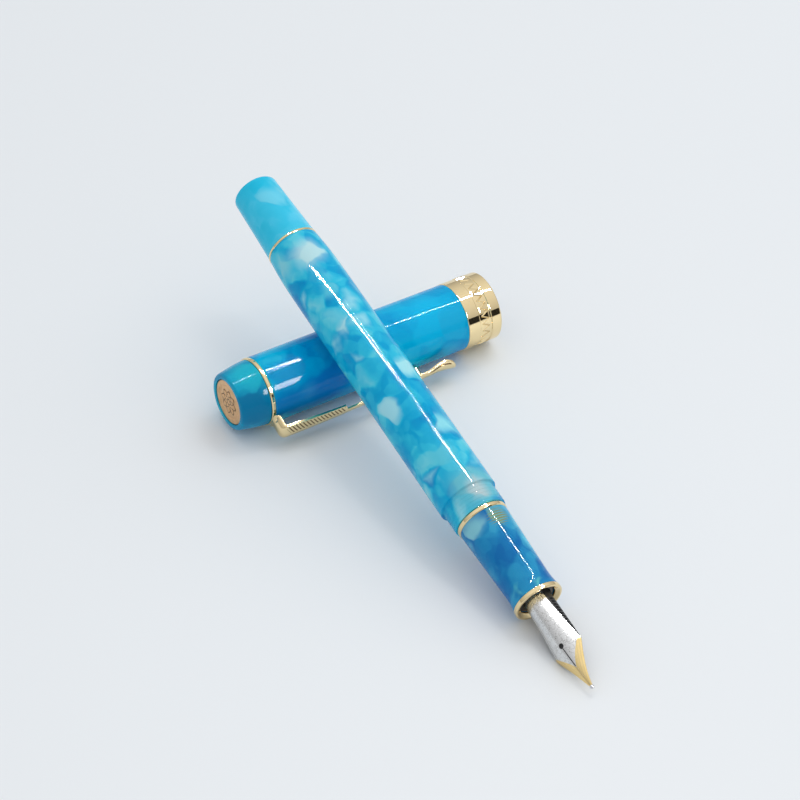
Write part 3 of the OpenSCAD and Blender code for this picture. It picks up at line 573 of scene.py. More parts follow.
def clear_plastic(name, place):
    """Clear polystyrene: see-through with a faint grey-blue body and soft flow lines of moulding."""
    material, tree = blank_material(name)
    spot = own_coordinates(tree, place)
    flow = add(tree, "ShaderNodeTexWave", Vector=spot, Scale=0.08, Distortion=3.0, Detail=2.0,
               bands_direction="Z")["Fac"]
    share = add(tree, "ShaderNodeMath", flow, 0.5, operation="MULTIPLY")[0]
    toned = add(tree, "ShaderNodeMix", share, colour("#EEF5F7"), colour("#DCE8EC"), data_type="RGBA")[2]
    close_material(tree, Base_Color=toned, Roughness=0.06, IOR=1.57, Transmission_Weight=0.9,
                   Normal=add(tree, "ShaderNodeBump", Height=flow, Distance=0.01 * MM)[0])
    return material


def rubber_material(name, place):
    """Moulded nitrile rubber: near black and matt, with a slightly dusty bloom."""
    material, tree = blank_material(name)
    spot = own_coordinates(tree, place)
    dust = add(tree, "ShaderNodeTexNoise", Vector=spot, Scale=1 / 0.9, Detail=4.0, Roughness=0.6)[0]
    bloom = add(tree, "ShaderNodeMapRange", dust, 0.4, 0.8, 0.0, 0.5, **SMOOTH)[0]
    toned = add(tree, "ShaderNodeMix", bloom, colour("#17171A"), colour("#34343A"), data_type="RGBA")[2]
    grain = add(tree, "ShaderNodeTexNoise", Vector=spot, Scale=1 / 0.2, Detail=2.0)[0]
    close_material(tree, Base_Color=toned, Roughness=0.7, IOR=1.52,
                   Normal=add(tree, "ShaderNodeBump", Height=grain, Distance=0.01 * MM)[0])
    return material


def silver_share(tree, across, along, sizes):
    """1 on the silver of the nib and 0 on its gold, which meet in a curved point between the tines."""
    shoulder = sizes.nib_out - sizes.taper_len
    point = shoulder + sizes.silver_point * sizes.taper_len
    half = sizes.shoulder_w / 2
    share = add(tree, "ShaderNodeMath", across, half, operation="DIVIDE")[0]
    curve = add(tree, "ShaderNodeMath", share, 0.8, operation="POWER")[0]
    rise = point - shoulder + sizes.gilt_back
    front = add(tree, "ShaderNodeMath", curve, rise, along, operation="MULTIPLY_ADD")[0]
    return add(tree, "ShaderNodeMapRange", front, point - 0.06, point + 0.06, 1.0, 0.0, **SMOOTH)[0]


def engraving(tree, spot, edge, border_mm):
    """1 in the nib's engraved cuts: two lines that frame it, and soft curls between them that stand
    for no motif, because they follow the contours of a noise."""
    frame_lines = 0.0
    for inset in (border_mm, border_mm + 0.5):
        beside = add(tree, "ShaderNodeMath", edge, inset, operation="SUBTRACT")[0]
        off = add(tree, "ShaderNodeMath", beside, operation="ABSOLUTE")[0]
        stripe = add(tree, "ShaderNodeMapRange", off, 0.02, 0.09, 1.0, 0.0, **SMOOTH)[0]
        frame_lines = add(tree, "ShaderNodeMath", stripe, frame_lines, operation="MAXIMUM")[0]
    hills = add(tree, "ShaderNodeTexNoise", Vector=spot, Scale=1 / 1.1, Detail=2.0, Roughness=0.6)[0]
    beside = add(tree, "ShaderNodeMath", hills, 0.5, operation="SUBTRACT")[0]
    off = add(tree, "ShaderNodeMath", beside, operation="ABSOLUTE")[0]
    curls = add(tree, "ShaderNodeMapRange", off, 0.0, 0.04, 0.5, 0.0, **SMOOTH)[0]
    inside = add(tree, "ShaderNodeMapRange", edge, border_mm + 0.6, border_mm + 0.8, **SMOOTH)[0]
    curls = add(tree, "ShaderNodeMath", inside, curls, operation="MULTIPLY")[0]
    return add(tree, "ShaderNodeMath", frame_lines, curls, operation="MAXIMUM")[0]


def nib_material(name, sizes):
    """Steel nib, brushed and then masked for plating: silver over its root and down to a point
    between the tines, pale gold along both flanks. Its fine engraving breaks up the gloss and is
    fainter on the gold, which fills it."""
    material, tree = blank_material(name)
    spot = own_coordinates(tree, NIB)
    axes = add(tree, "ShaderNodeSeparateXYZ", spot)
    across = add(tree, "ShaderNodeMath", axes[1], operation="ABSOLUTE")[0]
    silver = silver_share(tree, across, axes[2], sizes)
    brushed = add(tree, "ShaderNodeMapping", spot, Scale=(1, 9, 0.6), vector_type="POINT")[0]
    strokes = add(tree, "ShaderNodeTexNoise", Vector=brushed, Scale=1 / 0.9, Detail=3.0, Roughness=0.6)[0]
    cloud = add(tree, "ShaderNodeTexNoise", Vector=spot, Scale=1 / 1.4, Detail=3.0)[0]
    share = add(tree, "ShaderNodeMath", strokes, 0.35, operation="MULTIPLY")[0]
    steel = add(tree, "ShaderNodeMix", share, colour(sizes.steel), colour("#C4C5C6"), data_type="RGBA")[2]
    share = add(tree, "ShaderNodeMath", cloud, 0.5, operation="MULTIPLY")[0]
    gilt = add(tree, "ShaderNodeMix", share, colour(sizes.gilt), colour("#F7E4B4"), data_type="RGBA")[2]
    plated = add(tree, "ShaderNodeMix", silver, gilt, steel, data_type="RGBA")[2]
    edge = add(tree, "ShaderNodeAttribute", attribute_name="edge_mm")["Fac"]
    drawn = engraving(tree, spot, edge, sizes.border_mm)
    kept = add(tree, "ShaderNodeMath", silver, 0.75, 0.25, operation="MULTIPLY_ADD")[0]
    cut = add(tree, "ShaderNodeMath", drawn, kept, operation="MULTIPLY")[0]
    dark = add(tree, "ShaderNodeMath", cut, 0.6, operation="MULTIPLY")[0]
    shown = add(tree, "ShaderNodeMix", dark, plated, colour("#6F6A60"), data_type="RGBA")[2]
    gloss = add(tree, "ShaderNodeMapRange", strokes, To_Min=0.14, To_Max=0.3)[0]
    ridges = add(tree, "ShaderNodeMath", strokes, 0.06, operation="MULTIPLY")[0]
    height = add(tree, "ShaderNodeMath", ridges, cut, operation="SUBTRACT")[0]
    close_material(tree, Base_Color=shown, Metallic=1.0, Roughness=gloss,
                   Normal=add(tree, "ShaderNodeBump", Height=height, Distance=0.02 * MM)[0])
    return material


def tipping_material(name, place):
    """Hard tipping alloy, ground and polished to a small bright bead with a few fine scratches."""
    material, tree = blank_material(name)
    spot = own_coordinates(tree, place)
    scratch = add(tree, "ShaderNodeTexNoise", Vector=spot, Scale=1 / 0.08, Detail=3.0, Roughness=0.7)[0]
    toned = add(tree, "ShaderNodeMix", scratch, colour("#E9EAEC"), colour("#C9CBCF"), data_type="RGBA")[2]
    close_material(tree, Base_Color=toned, Metallic=1.0, Roughness=0.16,
                   Normal=add(tree, "ShaderNodeBump", Height=scratch, Distance=0.004 * MM)[0])
    return material


# ---- Finishes of this pen ----


def finish(key):
    """One of the pen's finishes, made the first time it is asked for."""
    if key in bpy.data.materials:
        return bpy.data.materials[key]
    colours = bpy.context.scene.pen_colours
    places = {"pen": PEN, "cap": CAP, "clip": CLIP}
    kind, _, where = key.rpartition("_")
    if kind == "gold_plate":
        return plate_material(key, colours.gold, 0.035, places[where])
    if kind == "bright_plate":
        return plate_material(key, colours.chrome, 0.06, places[where], 0.3, "#FFFFFF")
    if kind == "black_plastic":
        return moulded_plastic(key, colours.black, places[where])
    if kind == "turned_brass":
        return turned_metal(key, colours.brass, places[where])
    if kind == "turned_steel":
        return turned_metal(key, colours.steel, places[where], 0.25)
    raise ValueError("the pen has no finish named " + key)


# ---- Sizes and colours ----


class PenColours(bpy.types.PropertyGroup):
    """Colours of the pen's finishes, as sRGB hex values."""

    barrel_deep: StringProperty(
        name="Barrel, deepest", description="Darkest blue of the resin", default="#0090CE")
    barrel_body: StringProperty(
        name="Barrel, body", description="Main blue of the resin", default="#08AADA")
    barrel_light: StringProperty(
        name="Barrel, light", description="Lightest clear blue of the resin", default="#32C3E4")
    chips: StringProperty(
        name="Milky chips", description="Pale chips in the resin", default="#9ADFEF")
    gold: StringProperty(
        name="Gold plate", description="Plating of the rings, band and clip", default="#F2DAA6")
    bronze: StringProperty(
        name="Medallion", description="Gilt bronze of the medallion", default="#E8BE90")
    brass: StringProperty(
        name="Brass", description="Turned brass of the threaded fittings", default="#D8B36A")
    steel: StringProperty(
        name="Steel", description="Turned steel of the stud", default="#C9CACC")
    chrome: StringProperty(
        name="Bright plate", description="Plating of the converter", default="#E4E6E8")
    black: StringProperty(
        name="Black plastic", description="Feed, housing and inner cap", default="#0D0D0F")
    floor: StringProperty(
        name="Floor", description="Colour of the floor", default="#E3E7EA")


class TurnedSizes(bpy.types.PropertyGroup):
    """Sizes of the turned pieces and what is cut or fixed on them."""

    edge_round: FloatProperty(
        name="Edge rounding (mm)", description="Radius that softens the edges of resin",
        default=0.09, min=0.01, max=0.3)
    ring_round: FloatProperty(
        name="Ring rounding (mm)", description="Radius that softens the edges of metal rings",
        default=0.06, min=0.01, max=0.2)
    thread_pitch: FloatProperty(
        name="Cap thread pitch (mm)", description="Distance between turns of the cap thread",
        default=0.8, min=0.4, max=1.5)
    thread_depth: FloatProperty(
        name="Cap thread depth (mm)", description="Height of the thread over its land",
        default=0.1, min=0.05, max=0.2)
    zigzag_bars: IntProperty(
        name="Zigzag bars", description="Number of bars in the cap band's zigzag",
        default=54, min=20, max=160)
    zigzag_lean: FloatProperty(
        name="Zigzag lean", description="Lean of each bar from the cap's axis",
        default=math.radians(27.6), min=0.0, max=math.radians(60), subtype="ANGLE")
    zigzag_width: FloatProperty(
        name="Zigzag bar width (mm)", description="Width of each bar of the zigzag",
        default=0.24, min=0.05, max=0.4)
    petals: IntProperty(
        name="Petals", description="Number of petals in the medallion's rosette",
        default=8, min=5, max=24)


class ClipSizes(bpy.types.PropertyGroup):
    """Sizes of the clip, which keeps close to its solid but has a thinner sheet and a deeper arch."""

    sheet: FloatProperty(
        name="Sheet (mm)", description="Thickness of the clip's sheet", default=0.35)
    bend_r: FloatProperty(
        name="Bend radius (mm)", description="Outer radius of the shoulder bend", default=1.5)
    arch: FloatProperty(
        name="Arch (mm)", description="Depth of the arch across the clip", default=0.9)
    wide_w: FloatProperty(
        name="Width (mm)", description="Width at the shoulder", default=4.2)
    step_w: FloatProperty(
        name="Step width (mm)", description="Width where it steps down to the shank", default=3.2)
    wide_len: FloatProperty(
        name="Upper length (mm)", description="Length of the ribbed upper part", default=14.0)
    shank_w: FloatProperty(
        name="Shank width (mm)", description="Width of the shank behind the step", default=1.4)
    neck_w: FloatProperty(
        name="Neck width (mm)", description="Width of the shank before the leaf", default=2.0)
    leaf_w: FloatProperty(
        name="Leaf width (mm)", description="Width of the leaf-shaped tip", default=3.7)
    leaf_len: FloatProperty(
        name="Leaf length (mm)", description="Length of the leaf-shaped tip", default=6.6)
    leaf_widest: FloatProperty(
        name="Leaf's widest point", description="How far along the leaf it is widest",
        default=0.62, min=0.2, max=0.8, subtype="FACTOR")
    leaf_line_in: FloatProperty(
        name="Leaf line (mm)", description="Distance of the leaf's engraved line from its edge",
        default=0.6)
    spine_w: FloatProperty(
        name="Spine (mm)", description="Width of the plain spine between the ribs", default=0.7)
    rim_w: FloatProperty(
        name="Rim (mm)", description="Width of the plain rim beside the ribs", default=0.15)
    stud_d: FloatProperty(
        name="Stud (mm)", description="Diameter of the stud that touches the cap", default=1.6)
    rib_pitch: FloatProperty(
        name="Rib pitch (mm)", description="Distance between the clip's ribs", default=0.78)
    groove_depth: FloatProperty(
        name="Groove depth (mm)", description="Depth of the grooves between ribs", default=0.14)
    rib_lean: FloatProperty(
        name="Rib lean", description="Slope of the ribs across the clip", default=0.8)


class NibSizes(bpy.types.PropertyGroup):
    """Sizes of the nib, which keeps to its solid, and of its plating and engraving."""

    nib_out: FloatProperty(
        name="Length (mm)", description="Length beyond the rim of the grip", default=20.2)
    nib_in: FloatProperty(
        name="Root (mm)", description="Length inside the housing", default=6.5)
    sheet: FloatProperty(
        name="Sheet (mm)", description="Thickness of the sheet", default=0.3)
    shoulder_w: FloatProperty(
        name="Shoulders (mm)", description="Width at the shoulders", default=7.3)
    root_w: FloatProperty(
        name="Root width (mm)", description="Width where it enters the housing", default=5.0)
    tip_w: FloatProperty(
        name="Tip width (mm)", description="Width at the very tip", default=0.7)
    height: FloatProperty(
        name="Crest (mm)", description="Height of the crest above the pen's axis", default=2.75)
    straight_len: FloatProperty(
        name="Straight (mm)", description="Length of the straight crest", default=8.5)
    fall: FloatProperty(
        name="Fall (mm)", description="Fall of the crest to the tip", default=0.75)
    arch: FloatProperty(
        name="Arch (mm)", description="Depth of the arch at the shoulders", default=1.7)
    taper_len: FloatProperty(
        name="Taper (mm)", description="Distance of the shoulders behind the tip", default=8.6)
    breather_d: FloatProperty(
        name="Breather hole (mm)", description="Diameter of the hole", default=1.05)
    breather_back: FloatProperty(
        name="Hole setback (mm)", description="Distance behind the shoulders", default=0.9)
    slit: FloatProperty(
        name="Slit (mm)", description="Width of the slit", default=0.18)
    bevel: FloatProperty(
        name="Edge bevel (mm)", description="Bevel along the nib's edge", default=0.09)
    border_mm: FloatProperty(
        name="Border (mm)", description="Distance of the engraved line from the edge", default=0.42)
    silver_point: FloatProperty(
        name="Silver point", description="How far down the tines the silver reaches",
        default=0.5, min=0.0, max=1.0, subtype="FACTOR")
    gilt_back: FloatProperty(
        name="Gold setback (mm)", description="How far behind the shoulders the gold begins",
        default=0.9)
    steel: StringProperty(
        name="Steel", description="Brushed steel of the nib", default="#E9E9E8")
    gilt: StringProperty(
        name="Gold", description="Gold plate of the nib's flanks", default="#EFD08A")


class StageSizes(bpy.types.PropertyGroup):
    """Camera and light."""

    azimuth: FloatProperty(
        name="Azimuth", description="Direction that the camera looks from",
        default=math.radians(55.6), subtype="ANGLE")
    elevation: FloatProperty(
        name="Elevation", description="Camera's height over the floor",
        default=math.radians(42.69), subtype="ANGLE")
    roll: FloatProperty(
        name="Roll", description="Camera's turn about its own axis",
        default=math.radians(3.64), subtype="ANGLE")
    distance: FloatProperty(
        name="Distance (mm)", description="Camera to the middle of its view", default=790.4)
    lens: FloatProperty(
        name="Lens", description="Focal length", default=180.0, unit="CAMERA")
    sky: FloatProperty(
        name="Sky", description="Brightness of the plain surroundings", default=0.87)
    key: FloatProperty(
        name="Key", description="Brightness of the large soft lamp", default=1.0)
    tube: FloatProperty(
        name="Tube", description="Brightness of the thin tubes of light", default=180.0)


# ---- Clip ----


# How far the leaf's crest lies over the solid's at its lowest station, and how far its end turns up, in mm
LEAF_RAISED = 0.2
LEAF_END_LIFT = 0.4


class ClipForm:
    """The clip's crest, width and stations, set by its sizes and by the solid that it replaces."""

    def __init__(self, sizes):
        self.sizes = sizes
        corners = own_points("clip_arm", CLIP)
        ring_end = stretch("clip_ring", CAP)[1]
        self.root_r = min(p.x for p in corners if p.z < ring_end)
        self.top_r = max(p.x for p in corners)
        self.leg_z = min(p.z for p in corners)
        self.end_z = max(p.z for p in corners)
        self.strap_z = self.leg_z + sizes.bend_r
        self.step_z = ring_end + sizes.wide_len
        self.leaf_z = self.end_z - sizes.leaf_len
        self.low_z = self.end_z - 0.6 * sizes.leaf_len
        self.low_r = max(p.x for p in corners if abs(p.z - self.low_z) < 0.5) + LEAF_RAISED

    def crest(self, z):
        """Radius of the crest at station z, which falls in one sweep and turns up at the leaf's end."""
        down = min(1, max(0, (z - self.strap_z) / (self.low_z - self.strap_z)))
        up = max(0, (z - self.low_z) / (self.end_z - self.low_z))
        return self.top_r - (self.top_r - self.low_r) * down ** 1.9 + LEAF_END_LIFT * up * up

    def half(self, z):
        """Half the clip's width at station z: a taper, a step, the shank and a pointed leaf."""
        s = self.sizes
        if z <= self.step_z:
            wide = max(0, (z - self.strap_z) / (self.step_z - self.strap_z))
            return (s.wide_w + (s.step_w - s.wide_w) * wide) / 2
        if z <= self.leaf_z:
            shank = (z - self.step_z) / (self.leaf_z - self.step_z)
            return (s.shank_w + (s.neck_w - s.shank_w) * shank) / 2
        leaf = (z - self.leaf_z) / s.leaf_len
        swell = math.sin(math.pi / 2 * min(1, leaf / s.leaf_widest)) ** 1.6
        end = max(0, leaf - s.leaf_widest) / (1 - s.leaf_widest)
        return (s.neck_w + (s.leaf_w - s.neck_w) * swell) / 2 * math.sqrt(max(0, 1 - end ** 2.4))

    def rows(self):
        """(point of the crest, direction into the sheet, half width) from the ring to the leaf's end."""
        s = self.sizes
        made = []
        bend_x = self.top_r - s.bend_r
        for k in range(7):
            x = self.root_r + (bend_x - self.root_r) * k / 6
            made.append(((x, self.leg_z), (0, 1), s.wide_w / 2))
        for k in range(1, 12):
            angle = math.radians(90 * k / 12)
            spot = (bend_x + s.bend_r * math.sin(angle), self.strap_z - s.bend_r * math.cos(angle))
            made.append((spot, (-math.sin(angle), math.cos(angle)), s.wide_w / 2))
        stations = evenly(self.strap_z, self.step_z, 0.065)
        stations += evenly(self.step_z + 0.35, self.leaf_z, 0.5)
        stations += evenly(self.leaf_z + 0.1, self.end_z, 0.12)
        return made + [((self.crest(z), z), (-1, 0), self.half(z)) for z in stations]


def evenly(start, end, step):
    """Stations from start to end, about step apart."""
    count = max(1, round((end - start) / step))
    return [start + (end - start) * k / count for k in range(count + 1)]


def clip_section(spot, inward, half, sizes, is_root):
    """One closed loop round the clip's sheet: its arched face, rounded edges and underside."""
    edge = min(0.1, sizes.sheet / 3, half / 3)
    loop = []
    face_columns, back_columns = 27, 5
    for k in range(-face_columns, face_columns + 1):
        loop.append(((half - edge) * k / face_columns, 0.0))
    for angle in (30, 60, 90):
        turn = math.radians(angle)
        loop.append((half - edge + edge * math.sin(turn), edge * (1 - math.cos(turn))))
    for k in range(back_columns, -back_columns - 1, -1):
        loop.append((half * k / back_columns, sizes.sheet))
    for angle in (90, 60, 30):
        turn = math.radians(angle)
        loop.append((-half + edge - edge * math.sin(turn), edge * (1 - math.cos(turn))))
    points = []
    for across, depth in loop:
        arch = 0.0 if is_root else sizes.arch * (2 * across / sizes.wide_w) ** 2
        x = spot[0] + inward[0] * (depth + arch)
        z = spot[1] + inward[1] * (depth + arch)
        points.append((x, across, z))
    return points


# What each corner of the clip's sheet stores for the grooves
RIB_MARKS = ("rib_share", "rib_phase", "leaf_line")


def mark_grooves(mesh, form):
    """Stores on the clip's face how far each corner takes part in the ribs, where it is in their
    pitch, and how far it lies in the line engraved along the leaf's edge."""
    s = form.sizes
    share, phase, line = [mesh.attributes.new(name, "FLOAT", "POINT").data for name in RIB_MARKS]
    first, last = form.strap_z + 0.9, form.step_z - 0.2
    face_reach, fade, line_w = 0.05, 0.1, 0.2
    for vertex, part, place, drawn in zip(mesh.vertices, share, phase, line):
        x, y, z = vertex.co
        if x < form.crest(z) - s.arch * (2 * y / s.wide_w) ** 2 - face_reach:
            continue
        from_edge = form.half(z) - abs(y)
        along = z + s.rib_lean * abs(y)
        place.value = (along - first) / s.rib_pitch
        room = min(abs(y) - s.spine_w / 2, from_edge - s.rim_w, along - first, last - z)
        part.value = min(1, max(0, room / fade))
        if form.leaf_z + 0.6 < z < form.end_z - 1.0:
            drawn.value = max(0, 1 - abs(from_edge - s.leaf_line_in) / line_w)


def sink_grooves(tree, inputs):
    """Sinks narrow grooves between flat ribs, and the leaf's line, and stores how deep each corner is."""
    share, phase, line = [add(tree, "GeometryNodeInputNamedAttribute", name, data_type="FLOAT")[0]
                          for name in RIB_MARKS]
    within = add(tree, "ShaderNodeMath", phase, operation="FRACT")[0]
    swing = add(tree, "ShaderNodeMath", within, 2.0, -1.0, operation="MULTIPLY_ADD")[0]
    off = add(tree, "ShaderNodeMath", swing, operation="ABSOLUTE")[0]
    narrow = add(tree, "ShaderNodeMath", off, 1.8, operation="POWER")[0]
    ribs = add(tree, "ShaderNodeMath", share, narrow, operation="MULTIPLY")[0]
    groove = add(tree, "ShaderNodeMath", ribs, line, operation="MAXIMUM")[0]
    stored = add(tree, "GeometryNodeStoreNamedAttribute", inputs["Geometry"], Name="groove",
                 Value=groove, data_type="FLOAT", domain="POINT")[0]
    deep = add(tree, "ShaderNodeMath", groove, inputs["Groove depth"], operation="MULTIPLY")[0]
    down = add(tree, "ShaderNodeMath", deep, -1.0, operation="MULTIPLY")[0]
    normal = add(tree, "GeometryNodeInputNormal")[0]
    offset = add(tree, "ShaderNodeVectorMath", normal, down, operation="SCALE")[0]
    return add(tree, "GeometryNodeSetPosition", stored, Offset=offset)[0]


class PEN_OT_clip(bpy.types.Operator):
    """Builds the sprung clip: shoulder, ribbed upper part, shank, leaf and stud"""

    bl_idname = "pen.clip"
    bl_label = "Clip"

    def execute(self, context):
        sizes = context.scene.pen_clip
        form = ClipForm(sizes)
        gold = finish("gold_plate_clip")
        ribbed = plate_material("gold_plate_ribbed", context.scene.pen_colours.gold, 0.12, CLIP,
                                groove="groove")
        rows = form.rows()
        sheet = lofted("clip_sheet", [clip_section(*row, sizes, i == 0) for i, row in enumerate(rows)])
        mark_grooves(sheet, form)
        mesh = grown("clip_sprung", sink_grooves, {"Groove depth": sizes.groove_depth}, ribbed, sheet)
        finished("clip_sprung", mesh, CLIP, ribbed, "clip", ("clip_arm",), 50)
        stud_z = form.leaf_z - sizes.stud_d
        stud_r = sizes.stud_d / 2
        low = min(p.x for p in own_points("clip_arm", CLIP))
        high = form.crest(stud_z) - sizes.sheet / 2
        dome = [(stud_r * math.sin(a), low + stud_r - stud_r * math.cos(a))
                for a in (math.radians(10 * k) for k in range(10))]
        stud = turned("clip_stud", dome + [(stud_r, high), (0.0, high)], 48)
        place = CLIP @ Matrix.Translation((0, 0, stud_z)) @ Matrix.Rotation(math.pi / 2, 4, "Y")
        finished("clip_stud", stud, place, gold, "clip")
        return {"FINISHED"}


# ---- Nib ----


def nib_crest(v, s):
    """Height of the crest above the pen's axis at v from the rim: level, then falling to the tip."""
    bow = max(0, v - s.straight_len) / (s.nib_out - s.straight_len)
    return s.height - s.fall * bow ** 1.7


def nib_half(v, s):
    """Half the nib's width: it swells to the shoulders and tapers to the tip with a slight waist."""
    shoulder = s.nib_out - s.taper_len
    if v <= shoulder:
        return s.root_w / 2 + (s.shoulder_w - s.root_w) / 2 * max(0, v / shoulder) ** 1.25
    front = max(0, s.nib_out - v) / s.taper_len
    waist = 1 - 0.12 * math.sin(math.pi * front) * (1 - front)
    return s.tip_w / 2 + (s.shoulder_w - s.tip_w) / 2 * front ** 1.12 * waist


def nib_sag(v, s):
    """Depth of the arched cross-section, which is round about the pen's axis in the housing."""
    back = min(1, max(0, v / (s.nib_out - s.taper_len)))
    front = min(1, max(0, (s.nib_out - v) / s.taper_len))
    root = s.height - math.sqrt(s.height ** 2 - (s.root_w / 2) ** 2)
    flat = 0.05
    return flat + (root + (s.arch - root) * back - flat) * front ** 1.35


def half_section(v, inner, s, columns=22):
    """The loop round one half of the nib's sheet, from the middle or the slit to its bevelled edge."""
    half, sag = nib_half(v, s), nib_sag(v, s)
    radius = (half * half + sag * sag) / (2 * sag)
    axis_x = nib_crest(v, s) - radius
    bevel = min(s.bevel, half / 4)
    loop = [(inner + (half - bevel - inner) * k / columns, 0.0) for k in range(columns + 1)]
    for angle in (30, 60, 90):
        turn = math.radians(angle)
        loop.append((half - bevel + bevel * math.sin(turn), bevel * (1 - math.cos(turn))))
    loop += [(half + (inner - half) * k / columns, s.sheet) for k in range(columns + 1)]
    points = []
    for across, depth in loop:
        angle = math.asin(min(1, across / radius))
        points.append((axis_x + (radius - depth) * math.cos(angle), (radius - depth) * math.sin(angle), v))
    return points


def nib_mesh(s):
    """The nib's sheet with its breather hole and slit, as two mirrored halves joined behind the hole."""
    hole_r, gap = s.breather_d / 2, s.slit / 2
    hole_v = s.nib_out - s.taper_len - s.breather_back
    back_v, front_v = hole_v - hole_r, hole_v + math.sqrt(hole_r ** 2 - gap ** 2)
    solid = evenly(-s.nib_in, 0, 1.0) + evenly(0.2, back_v - 0.05, 0.2)
    opening = math.acos(-(front_v - hole_v) / hole_r)
    hole = [hole_v - hole_r * math.cos(opening * k / 18) for k in range(19)]
    slit = evenly(front_v + 0.1, s.nib_out, 0.16)
    rows = [(v, 0.0) for v in solid]
    rows += [(v, math.sqrt(max(0, hole_r ** 2 - (v - hole_v) ** 2))) for v in hole]
    rows += [(v, gap) for v in slit]
    points, faces = [], []
    for side in (1, -1):
        base = len(points)
        loops = [half_section(v, inner, s) for v, inner in rows]
        per = len(loops[0])
        points += [(x, side * y, z) for loop in loops for x, y, z in loop]
        for i in range(len(rows) - 1):
            last = per - 1 if i < len(solid) else per
            for j in range(last):
                a, k = base + i * per, (j + 1) % per
                faces.append([a + j, a + k, a + per + k, a + per + j])
        faces.append([base + j for j in range(per)])
        faces.append([base + (len(rows) - 1) * per + j for j in range(per)])
    mesh = mesh_from("nib_plated", points, faces)
    edge = mesh.attributes.new("edge_mm", "FLOAT", "POINT")
    for vertex, value in zip(mesh.vertices, edge.data):
        value.value = nib_half(vertex.co.z, s) - abs(vertex.co.y)
    return mesh


class PEN_OT_nib(bpy.types.Operator):
    """Builds the plated and engraved nib and dresses its tipping"""

    bl_idname = "pen.nib"
    bl_label = "Nib"

    def execute(self, context):
        sizes = context.scene.pen_nib
        finished("nib_plated", nib_mesh(sizes), NIB, nib_material("two_tone_steel", sizes), "grip",
                 ("nib",), 40)
        dress(["nib_tipping"], tipping_material("tipping_alloy", NIB))
        return {"FINISHED"}


# ---- Turned pieces ----


# Edge rounding of the two turned pieces that differ from the rest, in millimetres
BARREL_ROUND = 0.18
MEDALLION_ROUND = 0.05


